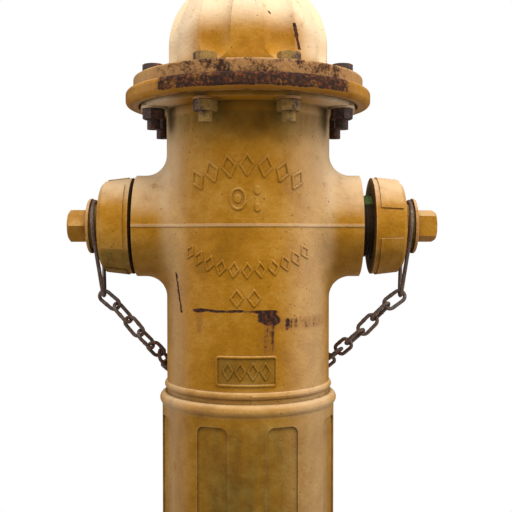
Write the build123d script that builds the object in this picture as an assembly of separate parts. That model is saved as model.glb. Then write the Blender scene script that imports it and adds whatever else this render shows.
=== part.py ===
from build123d import *
import os
from math import acos, ceil, cos, degrees, radians, sin, sqrt

# A dry-barrel fire hydrant, in millimetres.
# +Z runs up the barrel and z = 0 is the underside of the shoe. The hose outlets face +X and -X,
# and the pumper outlet and the inlet face +Y. The main valve is closed.

# Heights
bury_depth = 762.0  # from the underside of the connecting pipe to the ground line
inlet_height = 150.0  # from the underside of the shoe to the inlet's centreline
pipe_od = 175.3  # the pipe that the inlet connects to
outlet_height = 464.0  # from the ground line to the outlets' centreline
barrel_top_height = 160.0  # from the outlets' centreline to the barrel's top face

# Fits and seals
slide_gap = 0.35  # between pieces that move on each other
seat_gap = 0.1  # between fixed pieces that fit into each other
seal_r = 2.6  # thickness radius of the flange seals
small_seal_r = 1.5  # thickness radius of the seals round threads and stems
seal_room = 0.2  # groove wall beyond a seal

# Bolting
bolt_count = 8
bolt_start = 22.5  # first bolt, in degrees from +X
bolt_r = 7.9
bolt_hole_gap = 1.0
bolt_flats = 23.8
bolt_head_height = 10.0
bolt_nut_height = 12.5
bolt_spare_length = 12.0  # thread that stands out of the nut
bolt_wall_gap = 0.75  # between a bolt head's corner and the casting beside it
bolt_edge = 11.5  # flange metal beyond the bolts' centres
flange_thickness = 18.0

# Main valve and drain
valve_bore_r = 66.7  # five and a quarter inch valve opening
seat_ring_wall = 16.8
seat_ring_height = 35.0
valve_lap = 9.3  # rubber beyond the valve opening
valve_thickness = 25.0
valve_rise = 98.0  # from the inlet's centreline to the seat
plate_thickness = 16.0
plate_inset = 4.0  # lower plate's edge inside the rubber's edge
hub_r = 26.0
hub_height = 144.0
arm_height = 16.0
arm_width = 20.0
facing_thickness = 10.0
facing_height = 66.0
facing_width = 28.0
facing_screw_r = 3.0
drain_ring_wall = 8.5
drain_ring_height = 139.0
drain_ring_lip = 8.0
drain_port_r = 6.0
housing_height = 100.0
housing_wall = 11.0
cap_nut_flats = 50.0
cap_nut_height = 24.5
cap_nut_floor = 6.0
washer_thickness = 1.5
washer_r = 24.0

# Shoe and inlet
shoe_wall = 11.0
shoe_room = 3.0  # between the drain ring and the shoe
shoe_floor = 28.0
foot_r = 125.0
foot_thickness = 22.0
inlet_bore_r = 76.2
inlet_wall = 13.8
inlet_reach = 240.0
inlet_flange_r = 139.7
inlet_flange_thickness = 25.4
inlet_bolt_circle_r = 120.65
inlet_hole_r = 11.1
inlet_hole_count = 8

# Barrels
barrel_room = 5.5  # between the drain ring's bore and the barrel's bore
barrel_wall = 12.0
lower_wall = 10.0
collar_thickness = 12.0
collar_step = 9.0
safety_split = 1.0  # gap between the halves of the safety flange
base_step = 6.0  # fluted base beyond the barrel
base_top_drop = 219.0  # below the outlets' centreline
upper_bead_drop = 197.0
upper_bead_r = 4.7
upper_bead_step = 3.0
lower_bead_drop = 214.0
lower_bead_r = 7.5
lower_bead_step = 9.0
base_flute_width = 39.0
base_flute_depth = 3.6
base_flute_corner_r = 9.0
base_flute_drop = 232.6
base_flute_foot = 44.0  # lower end of the flutes above the ground line
pad_thickness = 2.0
pad_r = 15.5
boss_fillet = 26.0
rib_height = 3.0
rib_step = 1.0

# Stem
stem_r = 15.9
coupling_r = 24.0
coupling_length = 90.0
coupling_groove_r = 20.5
coupling_groove = 8.0
coupling_pin_r = 5.0
coupling_pin_rise = 27.0
coupling_pin_overhang = 8.0
pin_head_r = 8.0
pin_head_thickness = 3.0
cotter_r = 1.4
cotter_length = 18.0

# Outlets
hose_thread_r = 38.97  # two and a half inch hose thread
hose_bore_r = 31.75
hose_reach = 37.0  # boss face beyond the barrel
hose_nozzle_reach = 31.0  # nozzle end beyond the boss face
hose_boss_wall = 19.4
pumper_thread_r = 73.15  # four and a half inch pumper thread
pumper_bore_r = 57.15
pumper_reach = 43.0
pumper_nozzle_reach = 36.0
pumper_boss_wall = 9.0
shank_step = 5.0  # shank beyond the thread
shank_length = 40.0
shank_inset = 2.0
nozzle_end_chamfer = 1.5
lock_r = 3.0
lock_length = 12.0
lock_angle = 225.0

# Outlet caps
cap_thread_gap = 1.3
cap_edge_gap = 5.0  # between the boss face and the skirt of a closed cap
cap_skirt_wall = 20.2
cap_taper = 4.5
cap_end_wall = 8.0
cap_corner_r = 4.0
cap_pad_step = 1.6
cap_pad_span = 84.0
cap_pad_count = 3
cap_pad_inset = 6.0
left_pad_angle = 212.0  # where a cap's first pad begins, turned with the cap
right_pad_angle = 315.0
gasket_thickness = 4.0
gasket_lap = 8.0
neck_r = 34.5
neck_groove_r = 28.0
neck_inner_land = 2.0
neck_groove_width = 12.0
neck_lip = 3.5
nut_point_to_flat = 38.1  # pentagon, from a point to the flat across from it
cap_nut_reach = 26.0
right_cap_back_off = 10.16  # the right cap stands three turns open

# Chains
ring_wire_r = 2.5
ring_loop_r = 33.5
ring_tail_r = 6.5
hose_ring_tail = 79.0
hose_ring_lean = 5.0
pumper_ring_tail = 104.0
pumper_ring_lean = 0.0
link_wire_r = 2.4
link_inner_length = 24.0
link_inner_width = 9.5
link_slack = 0.6
link_first_roll = 15.0
link_swing = 37.5  # links are rolled this far to one side and the other, in turn
hose_end_roll = 90.0  # the last link stands across the shackle's wire
pumper_end_roll = 0.0
shackle_r = 17.0
shackle_spread = 60.0  # hose chains leave the shackle this far round from its lowest point
lug_drop = 150.0
lug_reach = 15.0
lug_r = 12.0
lug_hole_r = 6.0
lug_thickness = 12.0

# A chain's route: stand-off from the barrel, angle round the barrel from its outlet, and height
# from the outlets' centreline. Its ends are the cap's ring and the shackle.
left_chain_route = [
    (59.5, 0.4, -107.0),
    (43.0, 1.6, -128.0),
    (28.5, 5.3, -146.0),
    (19.0, 14.0, -163.0),
    (19.5, 30.0, -186.0),
    (23.0, 46.0, -199.0),
    (24.0, 58.5, -200.0),
    (20.5, 72.0, -191.0),
]
right_chain_route = [
    (70.0, 0.3, -104.0),
    (52.5, 1.2, -122.5),
    (36.0, 3.6, -140.0),
    (23.0, 10.0, -155.5),
    (18.0, 22.0, -171.0),
    (20.0, 38.0, -189.0),
    (23.5, 54.0, -197.0),
    (21.0, 71.0, -190.0),
]
pumper_chain_route = [
    (97.5, 0.0, -150.0),
    (90.0, 0.0, -190.0),
    (72.0, 0.0, -226.0),
    (47.0, 0.0, -243.0),
    (26.0, 0.0, -234.0),
]

# Bonnet
bonnet_wall = 16.0
dome_r = 99.0
dome_straight = 40.0  # height of the dome's upright part above the flange
dome_arc_r = 88.0
bonnet_rim_r = 152.5
bonnet_rim_drop = 13.0  # lip below the mating face
bonnet_rim_height = 19.0
bonnet_rim_round = 6.0
bonnet_lip_gap = 2.8
bonnet_step_r = 143.0
bonnet_flange_height = 22.0
bonnet_step_round = 3.0
bolt_seat_height = 1.0
flute_r = 30.0
flute_stand_off = 20.5  # flute cutter's centre beyond the dome
flute_low = 8.0  # flutes' lower end above the flange
flute_sweep = 46.0
bonnet_neck_r = 44.0
bonnet_neck_height = 162.0  # neck's top above the mating face
pocket_r = 37.0
pocket_depth = 36.0
pocket_floor = 12.0
web_rise = 32.0
web_thickness = 10.0
web_hub_r = 30.0
web_hub_drop = 16.0
plug_place_r = 60.0
plug_r = 7.0
plug_flats = 14.0
plug_head_height = 7.0
plug_length = 18.0
plug_seat_r = 12.0

# Operating nut
nut_shaft_r = 22.0
nut_collar_r = 33.0
nut_collar_height = 14.0
nut_top_rise = 73.0  # above the bonnet's neck
nut_pentagon_height = 38.0
nut_roof = 12.0
thrust_washer_thickness = 2.0
hold_down_flange_r = 41.0
hold_down_flange_height = 6.0
hold_down_end_gap = 0.5
weather_cap_r = 50.0
weather_cap_wall = 4.0
weather_cap_overlap = 6.0
weather_cap_rise = 23.0
weather_cap_roof = 7.0

# Worked out from the values above
ground_z = inlet_height - pipe_od / 2 + bury_depth
outlet_z = ground_z + outlet_height
barrel_top_z = outlet_z + barrel_top_height
seat_z = inlet_height + valve_rise
shoe_top_z = seat_z + seat_ring_height + 10.0
housing_top_z = shoe_top_z + housing_height

bolt_corner_r = bolt_flats / sqrt(3)
bolt_hole_r = bolt_r + bolt_hole_gap
seat_ring_r = valve_bore_r + seat_ring_wall
drain_bore_r = seat_ring_r + 1.0
drain_ring_r = seat_ring_r + drain_ring_wall
housing_bore_r = drain_ring_r + 1.0
housing_r = housing_bore_r + housing_wall
shoe_bore_r = drain_ring_r + shoe_room
shoe_r = shoe_bore_r + shoe_wall
bore_r = drain_bore_r + barrel_room
barrel_r = bore_r + barrel_wall
lower_r = bore_r + lower_wall
collar_r = lower_r + collar_step
base_r = barrel_r + base_step
bolt_circle_r = base_r + bolt_corner_r + bolt_wall_gap
flange_r = bolt_circle_r + bolt_edge

hose_face = barrel_r + hose_reach
hose_shank_r = hose_thread_r + shank_step
hose_boss_r = hose_shank_r + hose_boss_wall
pumper_face = barrel_r + pumper_reach
pumper_shank_r = pumper_thread_r + shank_step
pumper_boss_r = pumper_shank_r + pumper_boss_wall

dome_base_z = barrel_top_z + bonnet_flange_height
dome_arc_z = dome_base_z + dome_straight
dome_arc_x = dome_r - dome_arc_r
bonnet_top_z = barrel_top_z + bonnet_neck_height
pocket_z = bonnet_top_z - pocket_depth
nut_low_z = pocket_z + thrust_washer_thickness + seat_gap
nut_top_z = bonnet_top_z + nut_top_rise
nut_bore_r = stem_r + slide_gap
pentagon_r = nut_point_to_flat / (1 + cos(radians(36)))

FROM_BASE = (Align.CENTER, Align.CENTER, Align.MIN)
RIGHT = Vector(1, 0, 0)
LEFT = Vector(-1, 0, 0)
BACK = Vector(0, 1, 0)
UP = Vector(0, 0, 1)


# Shapes that many pieces share


def disc(radius, low, high):
    """A solid cylinder round the Z axis."""
    return Pos(0, 0, low) * Cylinder(radius, high - low, align=FROM_BASE)


def ring(outer_r, inner_r, low, high):
    """A plain ring round the Z axis."""
    return disc(outer_r, low, high) - disc(inner_r, low, high)


def turned(points):
    """A solid turned about the Z axis from its half outline, given as (radius, height)."""
    return revolve(make_face(Plane.XZ * Polyline(*points, close=True)), Axis.Z)


def block(x_low, x_high, y_low, y_high, z_low, z_high):
    """A box between two corners."""
    size = (x_high - x_low, y_high - y_low, z_high - z_low)
    return Pos(x_low, y_low, z_low) * Box(*size, align=(Align.MIN, Align.MIN, Align.MIN))


def seal_ring(centre_r, wire_r, height):
    """A rubber ring of round section."""
    return Pos(0, 0, height) * Torus(centre_r, wire_r)


def around(piece, count=bolt_count, start=bolt_start):
    """Copies of a piece, spaced evenly round the Z axis."""
    return [Rot(0, 0, start + i * 360 / count) * piece for i in range(count)]


def bolt_holes(low, high):
    """The clearance holes of a bolted flange."""
    return around(Pos(bolt_circle_r, 0, 0) * disc(bolt_hole_r, low, high))


def hexagon(flats, low, high):
    """A hexagonal prism with its top corners turned down."""
    corner_r = flats / sqrt(3)
    fall = (corner_r - flats / 2) * 0.6
    prism = Pos(0, 0, low) * extrude(RegularPolygon(flats / 2, 6, major_radius=False), high - low)
    turning = [(0, low), (corner_r, low), (corner_r, high - fall), (flats / 2, high), (0, high)]
    return prism & turned(turning)


def pentagon(low, high):
    """A five-sided wrench nut with its outer corners turned down."""
    prism = Pos(0, 0, low) * extrude(RegularPolygon(pentagon_r, 5), high - low)
    flat_r = pentagon_r * cos(radians(36))
    turning = [(0, low), (pentagon_r, low), (pentagon_r, high - 3), (flat_r, high), (0, high)]
    return prism & turned(turning)


def flange_bolt(head_z, end_z):
    """A flange bolt with its head on top."""
    return hexagon(bolt_flats, head_z, head_z + bolt_head_height) + disc(bolt_r, end_z, head_z)


def flange_bolts(head_z, nut_z):
    """A flange's bolts: heads sit at head_z and nuts are drawn up to nut_z."""
    end_z = nut_z - bolt_nut_height - bolt_spare_length
    return around(Pos(bolt_circle_r, 0, 0) * flange_bolt(head_z, end_z))


def flange_nuts(nut_z):
    """A flange's nuts, whose upper faces bear at nut_z."""
    low = nut_z - bolt_nut_height
    nut = hexagon(bolt_flats, low, nut_z) - disc(bolt_r + seat_gap, low, nut_z)
    return around(Pos(bolt_circle_r, 0, 0) * nut)


def seal_groove(centre_r, wire_r, low, high):
    """The groove that a face seal lies in."""
    half = wire_r + seal_room
    return ring(centre_r + half, centre_r - half, low, high)


def outlet_plane(direction):
    """An outlet's own frame: its z runs out of the barrel and its y runs up."""
    return Plane(origin=(0, 0, outlet_z), x_dir=UP.cross(direction), z_dir=direction)


def round_off(part, radius, circle_r, height):
    """Round the circular edge of one radius at one height."""
    edges = part.edges().filter_by(GeomType.CIRCLE)
    picked = [
        e for e in edges if abs(e.radius - circle_r) < 0.01 and abs(e.center().Z - height) < 0.01
    ]
    return fillet(picked, radius)


# Upper barrel


def outlet_section():
    """The barrel with its three outlet bosses blended into it."""
    pipe = disc(barrel_r, ground_z, barrel_top_z)
    hose_bar = Pos(0, 0, outlet_z) * Rot(0, 90, 0) * Cylinder(hose_boss_r, 2 * hose_face)
    hose = pipe + hose_bar
    hose = fillet(new_edges(pipe, hose_bar, combined=hose), boss_fillet)
    pumper_bar = outlet_plane(BACK) * disc(pumper_boss_r, 0, pumper_face)
    pumper = pipe + pumper_bar
    pumper = fillet(new_edges(pipe, pumper_bar, combined=pumper), boss_fillet)
    return hose + pumper


def parting_rib():
    """The thin rib where the halves of the casting mould met."""
    outline = Circle(barrel_r + rib_step)
    outline += Rectangle(2 * hose_face, 2 * (hose_boss_r + rib_step))
    corners = [v for v in outline.vertices() if abs(v.X) < hose_face - 1]
    outline = fillet(corners, boss_fillet - rib_step)
    outline += Pos(0, pumper_face / 2) * Rectangle(2 * (pumper_boss_r + rib_step), pumper_face)
    return Pos(0, 0, outlet_z - rib_height / 2) * extrude(outline, rib_height)


def base_flutes():
    """Cutters for the recessed panels round the base."""
    low = ground_z + base_flute_foot
    high = outlet_z - base_flute_drop
    height = high - low
    panel = RectangleRounded(base_flute_width, height, base_flute_corner_r)
    cutter = Plane.YZ * extrude(panel, base_flute_depth + 20)
    return around(Pos(base_r - base_flute_depth, 0, (low + high) / 2) * cutter)


def flange_pads(face_z):
    """The raised pads that a flange's nuts bear on."""
    return around(Pos(bolt_circle_r - 1, 0, 0) * disc(pad_r, face_z - pad_thickness, face_z + 1))


def chain_lug():
    """The eye under the pumper outlet that the chains are shackled to."""
    y_end = barrel_r + lug_reach
    z = outlet_z - lug_drop
    eye = Pos(0, y_end, z) * Rot(0, 90, 0) * Cylinder(lug_r, lug_thickness)
    arm = block(-lug_thickness / 2, lug_thickness / 2, bore_r + 2, y_end, z - lug_r, z + lug_r)
    hole = Pos(0, y_end, z) * Rot(0, 90, 0) * Cylinder(lug_hole_r, 2 * lug_thickness)
    return arm + eye - hole


def nozzle_bore(direction, face, shank_r, bore_r_out):
    """What is cut from the barrel for one nozzle."""
    plane = outlet_plane(direction)
    socket = plane * disc(shank_r + seat_gap, face - shank_length, face + 1)
    waterway = plane * disc(bore_r_out + 4, 0, face)
    lock = plane * (Rot(0, 0, lock_angle) * Pos(shank_r, 0, 0) * lock_pin(face, seat_gap))
    return [socket, waterway, lock]


def lock_pin(face, gap=0.0):
    """A pin that locks a nozzle in its boss, half in each."""
    return disc(lock_r + gap, face - shank_inset - lock_length - gap, face - shank_inset + gap)


def upper_barrel():
    """The iron casting above the ground."""
    base_top_z = outlet_z - base_top_drop
    flange_low = barrel_top_z - flange_thickness
    body = outlet_section() + parting_rib()
    body += disc(base_r, ground_z, base_top_z)
    body += seal_ring(barrel_r + upper_bead_step - upper_bead_r, upper_bead_r, outlet_z - upper_bead_drop)
    body += seal_ring(barrel_r + lower_bead_step - lower_bead_r, lower_bead_r, outlet_z - lower_bead_drop)
    body += disc(flange_r, ground_z, ground_z + flange_thickness)
    body += disc(flange_r, flange_low, barrel_top_z)
    body += flange_pads(flange_low)
    body += chain_lug()
    body -= disc(bore_r, ground_z - 1, barrel_top_z + 1)
    body -= nozzle_bore(RIGHT, hose_face, hose_shank_r, hose_bore_r)
    body -= nozzle_bore(LEFT, hose_face, hose_shank_r, hose_bore_r)
    body -= nozzle_bore(BACK, pumper_face, pumper_shank_r, pumper_bore_r)
    body -= bolt_holes(ground_z - 1, ground_z + flange_thickness + 1)
    body -= bolt_holes(flange_low - pad_thickness - 1, barrel_top_z + 1)
    body -= base_flutes()
    body -= seal_groove(top_seal_r(), seal_r, barrel_top_z - 2 * seal_r, barrel_top_z + 1)
    return body


def top_seal_r():
    """Radius of the flange seals, midway between the bore and the bolt holes."""
    return (bore_r + bolt_circle_r - bolt_hole_r) / 2


# Outlet nozzles


def nozzle(direction, face, thread_r, nozzle_bore_r, reach):
    """A bronze nozzle: a shank locked in the boss and a thread for the hose."""
    shank_r = thread_r + shank_step
    low = face - shank_length
    end = face + reach
    outline = [
        (nozzle_bore_r, low),
        (shank_r, low),
        (shank_r, face - shank_inset),
        (thread_r, face - shank_inset),
        (thread_r, end - nozzle_end_chamfer),
        (thread_r - nozzle_end_chamfer, end),
        (nozzle_bore_r, end),
    ]
    body = turned(outline)
    body -= nozzle_seal_groove(shank_r, face)
    body -= Rot(0, 0, lock_angle) * Pos(shank_r, 0, 0) * lock_pin(face, seat_gap)
    return outlet_plane(direction) * body


def nozzle_seal_z(face):
    """Where a nozzle's seal lies on its shank."""
    return face - shank_length + 8


def nozzle_seal_groove(shank_r, face):
    """The groove round a nozzle's shank."""
    z = nozzle_seal_z(face)
    half = small_seal_r + seal_room
    return ring(shank_r + 1, shank_r - 2 * small_seal_r, z - half, z + half)


def nozzle_seal(direction, shank_r, face):
    """The rubber ring in a nozzle's groove."""
    return outlet_plane(direction) * seal_ring(shank_r - small_seal_r, small_seal_r, nozzle_seal_z(face))


def nozzle_lock(direction, shank_r, face):
    """The pin that locks a nozzle."""
    return outlet_plane(direction) * (Rot(0, 0, lock_angle) * Pos(shank_r, 0, 0) * lock_pin(face))


# Outlet caps


def cap_pads(edge, outer_r, length, first_edge):
    """The raised gripping pads round a cap's skirt."""
    pads = []
    low = edge + cap_pad_inset
    high = edge + length - cap_corner_r - 1
    slope = cap_taper / length
    outline = [
        (outer_r - 6, low),
        (outer_r + cap_pad_step - slope * (low - edge), low),
        (outer_r + cap_pad_step - slope * (high - edge), high),
        (outer_r - 6, high),
    ]
    face = make_face(Plane.XZ * Polyline(*outline, close=True))
    for i in range(cap_pad_count):
        turn = first_edge + i * 360 / cap_pad_count
        pads.append(Rot(0, 0, turn) * revolve(face, Axis.Z, cap_pad_span))
    return pads


def cap_neck_z(edge, length):
    """The middle of the groove that a cap's chain ring hangs in."""
    return edge + length + neck_inner_land + neck_groove_width / 2


def cap_length(reach):
    """From a cap's skirt edge to its face."""
    return reach - cap_edge_gap + gasket_thickness + cap_end_wall


def outlet_cap(direction, edge, thread_r, reach, first_pad):
    """A screw cap: a padded skirt, a neck for the chain ring and a wrench nut."""
    length = cap_length(reach)
    inner_r = thread_r + cap_thread_gap
    outer_r = inner_r + cap_skirt_wall
    face = edge + length
    groove_low = face + neck_inner_land
    groove_high = groove_low + neck_groove_width
    neck_top = groove_high + neck_lip
    outline = [
        (0, face - cap_end_wall),
        (inner_r, face - cap_end_wall),
        (inner_r, edge),
        (outer_r, edge),
        (outer_r - cap_taper, face - cap_corner_r),
        (outer_r - cap_taper - cap_corner_r, face),
        (neck_r, face),
        (neck_r, groove_low),
        (neck_groove_r, groove_low),
        (neck_groove_r, groove_high),
        (neck_r, groove_high),
        (neck_r, neck_top - 1),
        (neck_r - 1, neck_top),
        (0, neck_top),
    ]
    body = turned(outline) + cap_pads(edge, outer_r, length, first_pad)
    body += pentagon(neck_top, neck_top + cap_nut_reach)
    return outlet_plane(direction) * body


def cap_gasket(direction, edge, thread_r, reach):
    """The flat rubber ring in the bottom of a cap."""
    high = edge + cap_length(reach) - cap_end_wall
    low = high - gasket_thickness + seat_gap
    return outlet_plane(direction) * ring(thread_r, thread_r - gasket_lap, low, high)


def ring_drop():
    """How far a chain ring hangs below its cap's axis."""
    return ring_loop_r - ring_wire_r - neck_groove_r - slide_gap


def ring_outline(tail):
    """A chain ring's wire line: a loop round the neck drawn out into a narrow tail below."""
    turn = degrees(acos((ring_loop_r - ring_tail_r) / tail))
    arc = CenterArc((0, 0), ring_loop_r, turn - 90, 360 - 2 * turn)
    tip = CenterArc((0, -tail), ring_tail_r, 270 - turn, 2 * turn)
    return Wire([arc, Line(arc @ 1, tip @ 0), tip, Line(tip @ 1, arc @ 0)])


def chain_ring(direction, edge, reach, tail, lean):
    """The wire loop that hangs in a cap's groove and holds the end of its chain."""
    outline = ring_outline(tail)
    section = Plane(origin=outline @ 0, z_dir=outline % 0) * Circle(ring_wire_r)
    loop = sweep(section, path=outline)
    hung = Pos(0, -ring_drop(), cap_neck_z(edge, cap_length(reach))) * Rot(lean, 0, 0) * loop
    return outlet_plane(direction) * hung


def ring_tail_point(direction, edge, reach, tail, lean):
    """The middle of the wire at the low end of a chain ring."""
    length = tail + ring_tail_r
    out = cap_neck_z(edge, cap_length(reach)) - length * sin(radians(lean))
    return direction * out + UP * (outlet_z - ring_drop() - length * cos(radians(lean)))


# Chains


def shackle_centre():
    """The middle of the ring that hangs in the barrel's lug."""
    return Vector(0, barrel_r + lug_reach, outlet_z - lug_drop - shackle_r)


def shackle_point(angle):
    """The middle of the shackle's wire, at an angle from its lowest point towards +X."""
    a = radians(angle)
    return shackle_centre() + Vector(sin(a), 0, -cos(a)) * shackle_r


def route_points(direction, route):
    """A chain's route as points in space, its outlet's angle being zero."""
    points = []
    for stand_off, angle, height in route:
        a = radians(angle)
        outward = direction * cos(a) + BACK * sin(a)
        points.append(outward * (barrel_r + stand_off) + UP * (outlet_z + height))
    return points


def chain_link():
    """One link, lying along X with its width along Y."""
    half_straight = (link_inner_length - link_inner_width) / 2
    bend_r = link_inner_width / 2 + link_wire_r
    outline = SlotCenterToCenter(2 * half_straight, 2 * bend_r).face().outer_wire()
    section = Plane(origin=outline @ 0, z_dir=outline % 0) * Circle(link_wire_r)
    return sweep(section, path=outline, transition=Transition.ROUND)


def chain(start, points, end, direction):
    """Links hung one in the next from a cap's ring to the shackle."""
    inward = (shackle_centre() - end).normalized()
    route = Spline(start, *points, end, tangents=[points[0] - start, inward])
    hook = link_inner_length / 2 - ring_wire_r - link_slack / 2
    steps = ceil((route.length - 2 * hook) / (link_inner_length - link_slack))
    pitch = (route.length - 2 * hook) / steps
    sideways = RIGHT if direction == BACK else BACK
    end_roll = pumper_end_roll if direction == BACK else hose_end_roll
    first = link_first_roll - link_swing
    last = (end_roll - link_swing) * (-1) ** steps
    link = chain_link()
    links = []
    for i in range(steps + 1):
        at = (hook + i * pitch) / route.length
        along = route % at
        facing = (sideways - along * sideways.dot(along)).normalized()
        frame = Plane(origin=route @ at, x_dir=along, z_dir=facing)
        roll = first + (last - first) * (i / steps) ** 2 + link_swing * (-1) ** i
        links.append(frame * Rot(roll, 0, 0) * link)
    print(f"chain of {steps + 1} links, {pitch:.2f} mm apart")
    return links


def chain_shackle():
    """The ring that joins the three chains to the barrel's lug."""
    return Pos(*shackle_centre()) * Rot(90, 0, 0) * Torus(shackle_r, ring_wire_r)


# Bonnet


def dome(inset, top_r):
    """The dome, or the hollow inside it when it is set in from the surface."""
    r = dome_r - inset
    arc_r = dome_arc_r - inset
    rise = sqrt(arc_r**2 - (top_r - dome_arc_x) ** 2)
    sides = Polyline((r, dome_arc_z), (r, dome_base_z), (0, dome_base_z), (0, dome_arc_z + rise))
    crown = Line((0, dome_arc_z + rise), (top_r, dome_arc_z + rise))
    shoulder = RadiusArc((top_r, dome_arc_z + rise), (r, dome_arc_z), arc_r)
    return revolve(make_face(Plane.XZ * (sides + crown + shoulder)), Axis.Z)


def dome_flutes():
    """Cutters for the flutes that run up the dome above the bolts."""
    x = dome_r + flute_stand_off
    low = dome_base_z + flute_low + sqrt(flute_r**2 - flute_stand_off**2)
    hinge = Axis((dome_arc_x, 0, dome_arc_z), (0, -1, 0))
    end = Pos(x, 0, dome_arc_z) * Sphere(flute_r)
    cutter = Pos(x, 0, 0) * disc(flute_r, low, dome_arc_z)
    cutter += Pos(x, 0, low) * Sphere(flute_r)
    cutter += revolve(Pos(x, 0, dome_arc_z) * Circle(flute_r), hinge, flute_sweep)
    cutter += end.rotate(hinge, flute_sweep)
    return around(cutter)


def bonnet_rim():
    """The bonnet's flange, with a lip that hangs over the barrel's flange."""
    rim_low = barrel_top_z - bonnet_rim_drop
    rim_high = rim_low + bonnet_rim_height
    rim = disc(bonnet_rim_r, rim_low, rim_high)
    rim = round_off(rim, bonnet_rim_round, bonnet_rim_r, rim_low)
    rim = round_off(rim, bonnet_rim_round, bonnet_rim_r, rim_high)
    step = disc(bonnet_step_r, rim_high - 1, dome_base_z)
    rim += round_off(step, bonnet_step_round, bonnet_step_r, dome_base_z)
    seats = disc(pad_r, dome_base_z - 1, dome_base_z + bolt_seat_height)
    return rim + around(Pos(bolt_circle_r, 0, 0) * seats)


def bonnet_hollow():
    """The space under the dome, with the pocket's floor, the web and its hub left standing."""
    web_low = barrel_top_z + web_rise
    hollow = dome(bonnet_wall, stem_r) + disc(dome_r - bonnet_wall, barrel_top_z - 1, dome_base_z)
    hollow -= disc(dome_r, web_low, web_low + web_thickness)
    hollow -= disc(web_hub_r, web_low - web_hub_drop, web_low)
    hollow -= disc(bonnet_neck_r, pocket_z - pocket_floor, bonnet_top_z)
    return hollow


def stem_seal_heights():
    """Where the two seals lie in the web's hub."""
    web_low = barrel_top_z + web_rise
    return [web_low - web_hub_drop / 2, web_low + web_thickness / 2]


def stem_seals():
    """The rubber rings that keep water out of the bonnet."""
    return [seal_ring(stem_r + slide_gap + small_seal_r, small_seal_r, z) for z in stem_seal_heights()]


def plug_low_z():
    """The face that the oil filler plug's head bears on."""
    return dome_arc_z + sqrt(dome_arc_r**2 - (plug_place_r - dome_arc_x) ** 2) + 2


def bonnet():
    """The iron bonnet: flange, fluted dome, neck, and the pocket and web inside it."""
    plug_place = Pos(0, plug_place_r, 0)
    plug_seat_z = plug_low_z()
    lip_inner_r = flange_r + bonnet_lip_gap
    stem_hole_r = stem_r + slide_gap
    body = dome(0, bonnet_neck_r) - dome_flutes()
    body += bonnet_rim()
    body += plug_place * disc(plug_seat_r, dome_arc_z + dome_arc_r / 2, plug_seat_z)
    body -= plug_place * disc(plug_seat_r, plug_seat_z, plug_seat_z + dome_arc_r / 2)
    body += disc(bonnet_neck_r, dome_arc_z, bonnet_top_z)
    body -= bonnet_hollow()
    body -= disc(lip_inner_r, barrel_top_z - bonnet_rim_drop - 1, barrel_top_z)
    body -= bolt_holes(barrel_top_z - 1, dome_base_z + bolt_seat_height + 1)
    body -= disc(stem_hole_r, barrel_top_z, bonnet_top_z)
    body -= disc(pocket_r, pocket_z, bonnet_top_z + 1)
    body -= plug_place * disc(plug_r + seat_gap, dome_arc_z, plug_seat_z)
    half = small_seal_r + seal_room
    groove_r = stem_hole_r + 2 * small_seal_r + seal_room
    body -= [disc(groove_r, z - half, z + half) for z in stem_seal_heights()]
    return body


def oil_filler_plug():
    """The plug of the bonnet's oil filler."""
    low = plug_low_z()
    plug = disc(plug_r, low - plug_length, low) + hexagon(plug_flats, low, low + plug_head_height)
    return Pos(0, plug_place_r, 0) * plug


# Operating nut


def operating_nut():
    """The bronze nut that turns in the bonnet and lifts or lowers the stem."""
    collar_top = nut_low_z + nut_collar_height
    pentagon_low = nut_top_z - nut_pentagon_height
    body = disc(nut_collar_r, nut_low_z, collar_top)
    body += disc(nut_shaft_r, collar_top, pentagon_low)
    body += pentagon(pentagon_low, nut_top_z)
    return body - disc(nut_bore_r, nut_low_z - 1, nut_top_z - nut_roof)


def thrust_washer():
    """The washer that the operating nut turns on."""
    high = pocket_z + thrust_washer_thickness
    return ring(nut_collar_r, stem_r + slide_gap + 2, pocket_z, high)


def hold_down_low_z():
    """The lower end of the hold-down nut."""
    return nut_low_z + nut_collar_height + hold_down_end_gap


def hold_down_seal_z():
    """The height of the hold-down nut's seals."""
    return (hold_down_low_z() + bonnet_top_z) / 2


def hold_down_nut():
    """The ring nut that keeps the operating nut in its pocket."""
    low = hold_down_low_z()
    top = bonnet_top_z + hold_down_flange_height
    half = small_seal_r + seal_room
    z = hold_down_seal_z()
    shaft_gap_r = nut_shaft_r + slide_gap
    body = ring(pocket_r - seat_gap, shaft_gap_r, low, bonnet_top_z)
    body += ring(hold_down_flange_r, shaft_gap_r, bonnet_top_z, top)
    body -= disc(shaft_gap_r + 2 * small_seal_r + seal_room, z - half, z + half)
    return body - ring(pocket_r, pocket_r - 2 * small_seal_r - seal_room, z - half, z + half)


def hold_down_seals():
    """The rings that seal the hold-down nut in the neck and round the operating nut."""
    z = hold_down_seal_z()
    inner = seal_ring(nut_shaft_r + slide_gap + small_seal_r, small_seal_r, z)
    return [inner, seal_ring(pocket_r - seat_gap - small_seal_r, small_seal_r, z)]


def weather_cap():
    """The hood that turns with the operating nut and keeps rain out of the neck."""
    low = bonnet_top_z - weather_cap_overlap
    top = bonnet_top_z + weather_cap_rise
    roof = top - weather_cap_roof
    hood = ring(weather_cap_r, weather_cap_r - weather_cap_wall, low, roof)
    hood += ring(weather_cap_r, nut_shaft_r + seat_gap, roof, top)
    return round_off(hood, weather_cap_roof / 2, weather_cap_r, top)


# Stem


def upper_stem():
    """The stem above the breakable coupling."""
    return disc(stem_r, ground_z + 1, nut_top_z - nut_roof - 3)


def lower_stem():
    """The stem below the breakable coupling."""
    return disc(stem_r, cap_nut_low_z() + cap_nut_floor, ground_z - 1)


def pin_heights():
    """Where the coupling's two pins cross the stem."""
    return [ground_z - coupling_pin_rise, ground_z + coupling_pin_rise]


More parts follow.
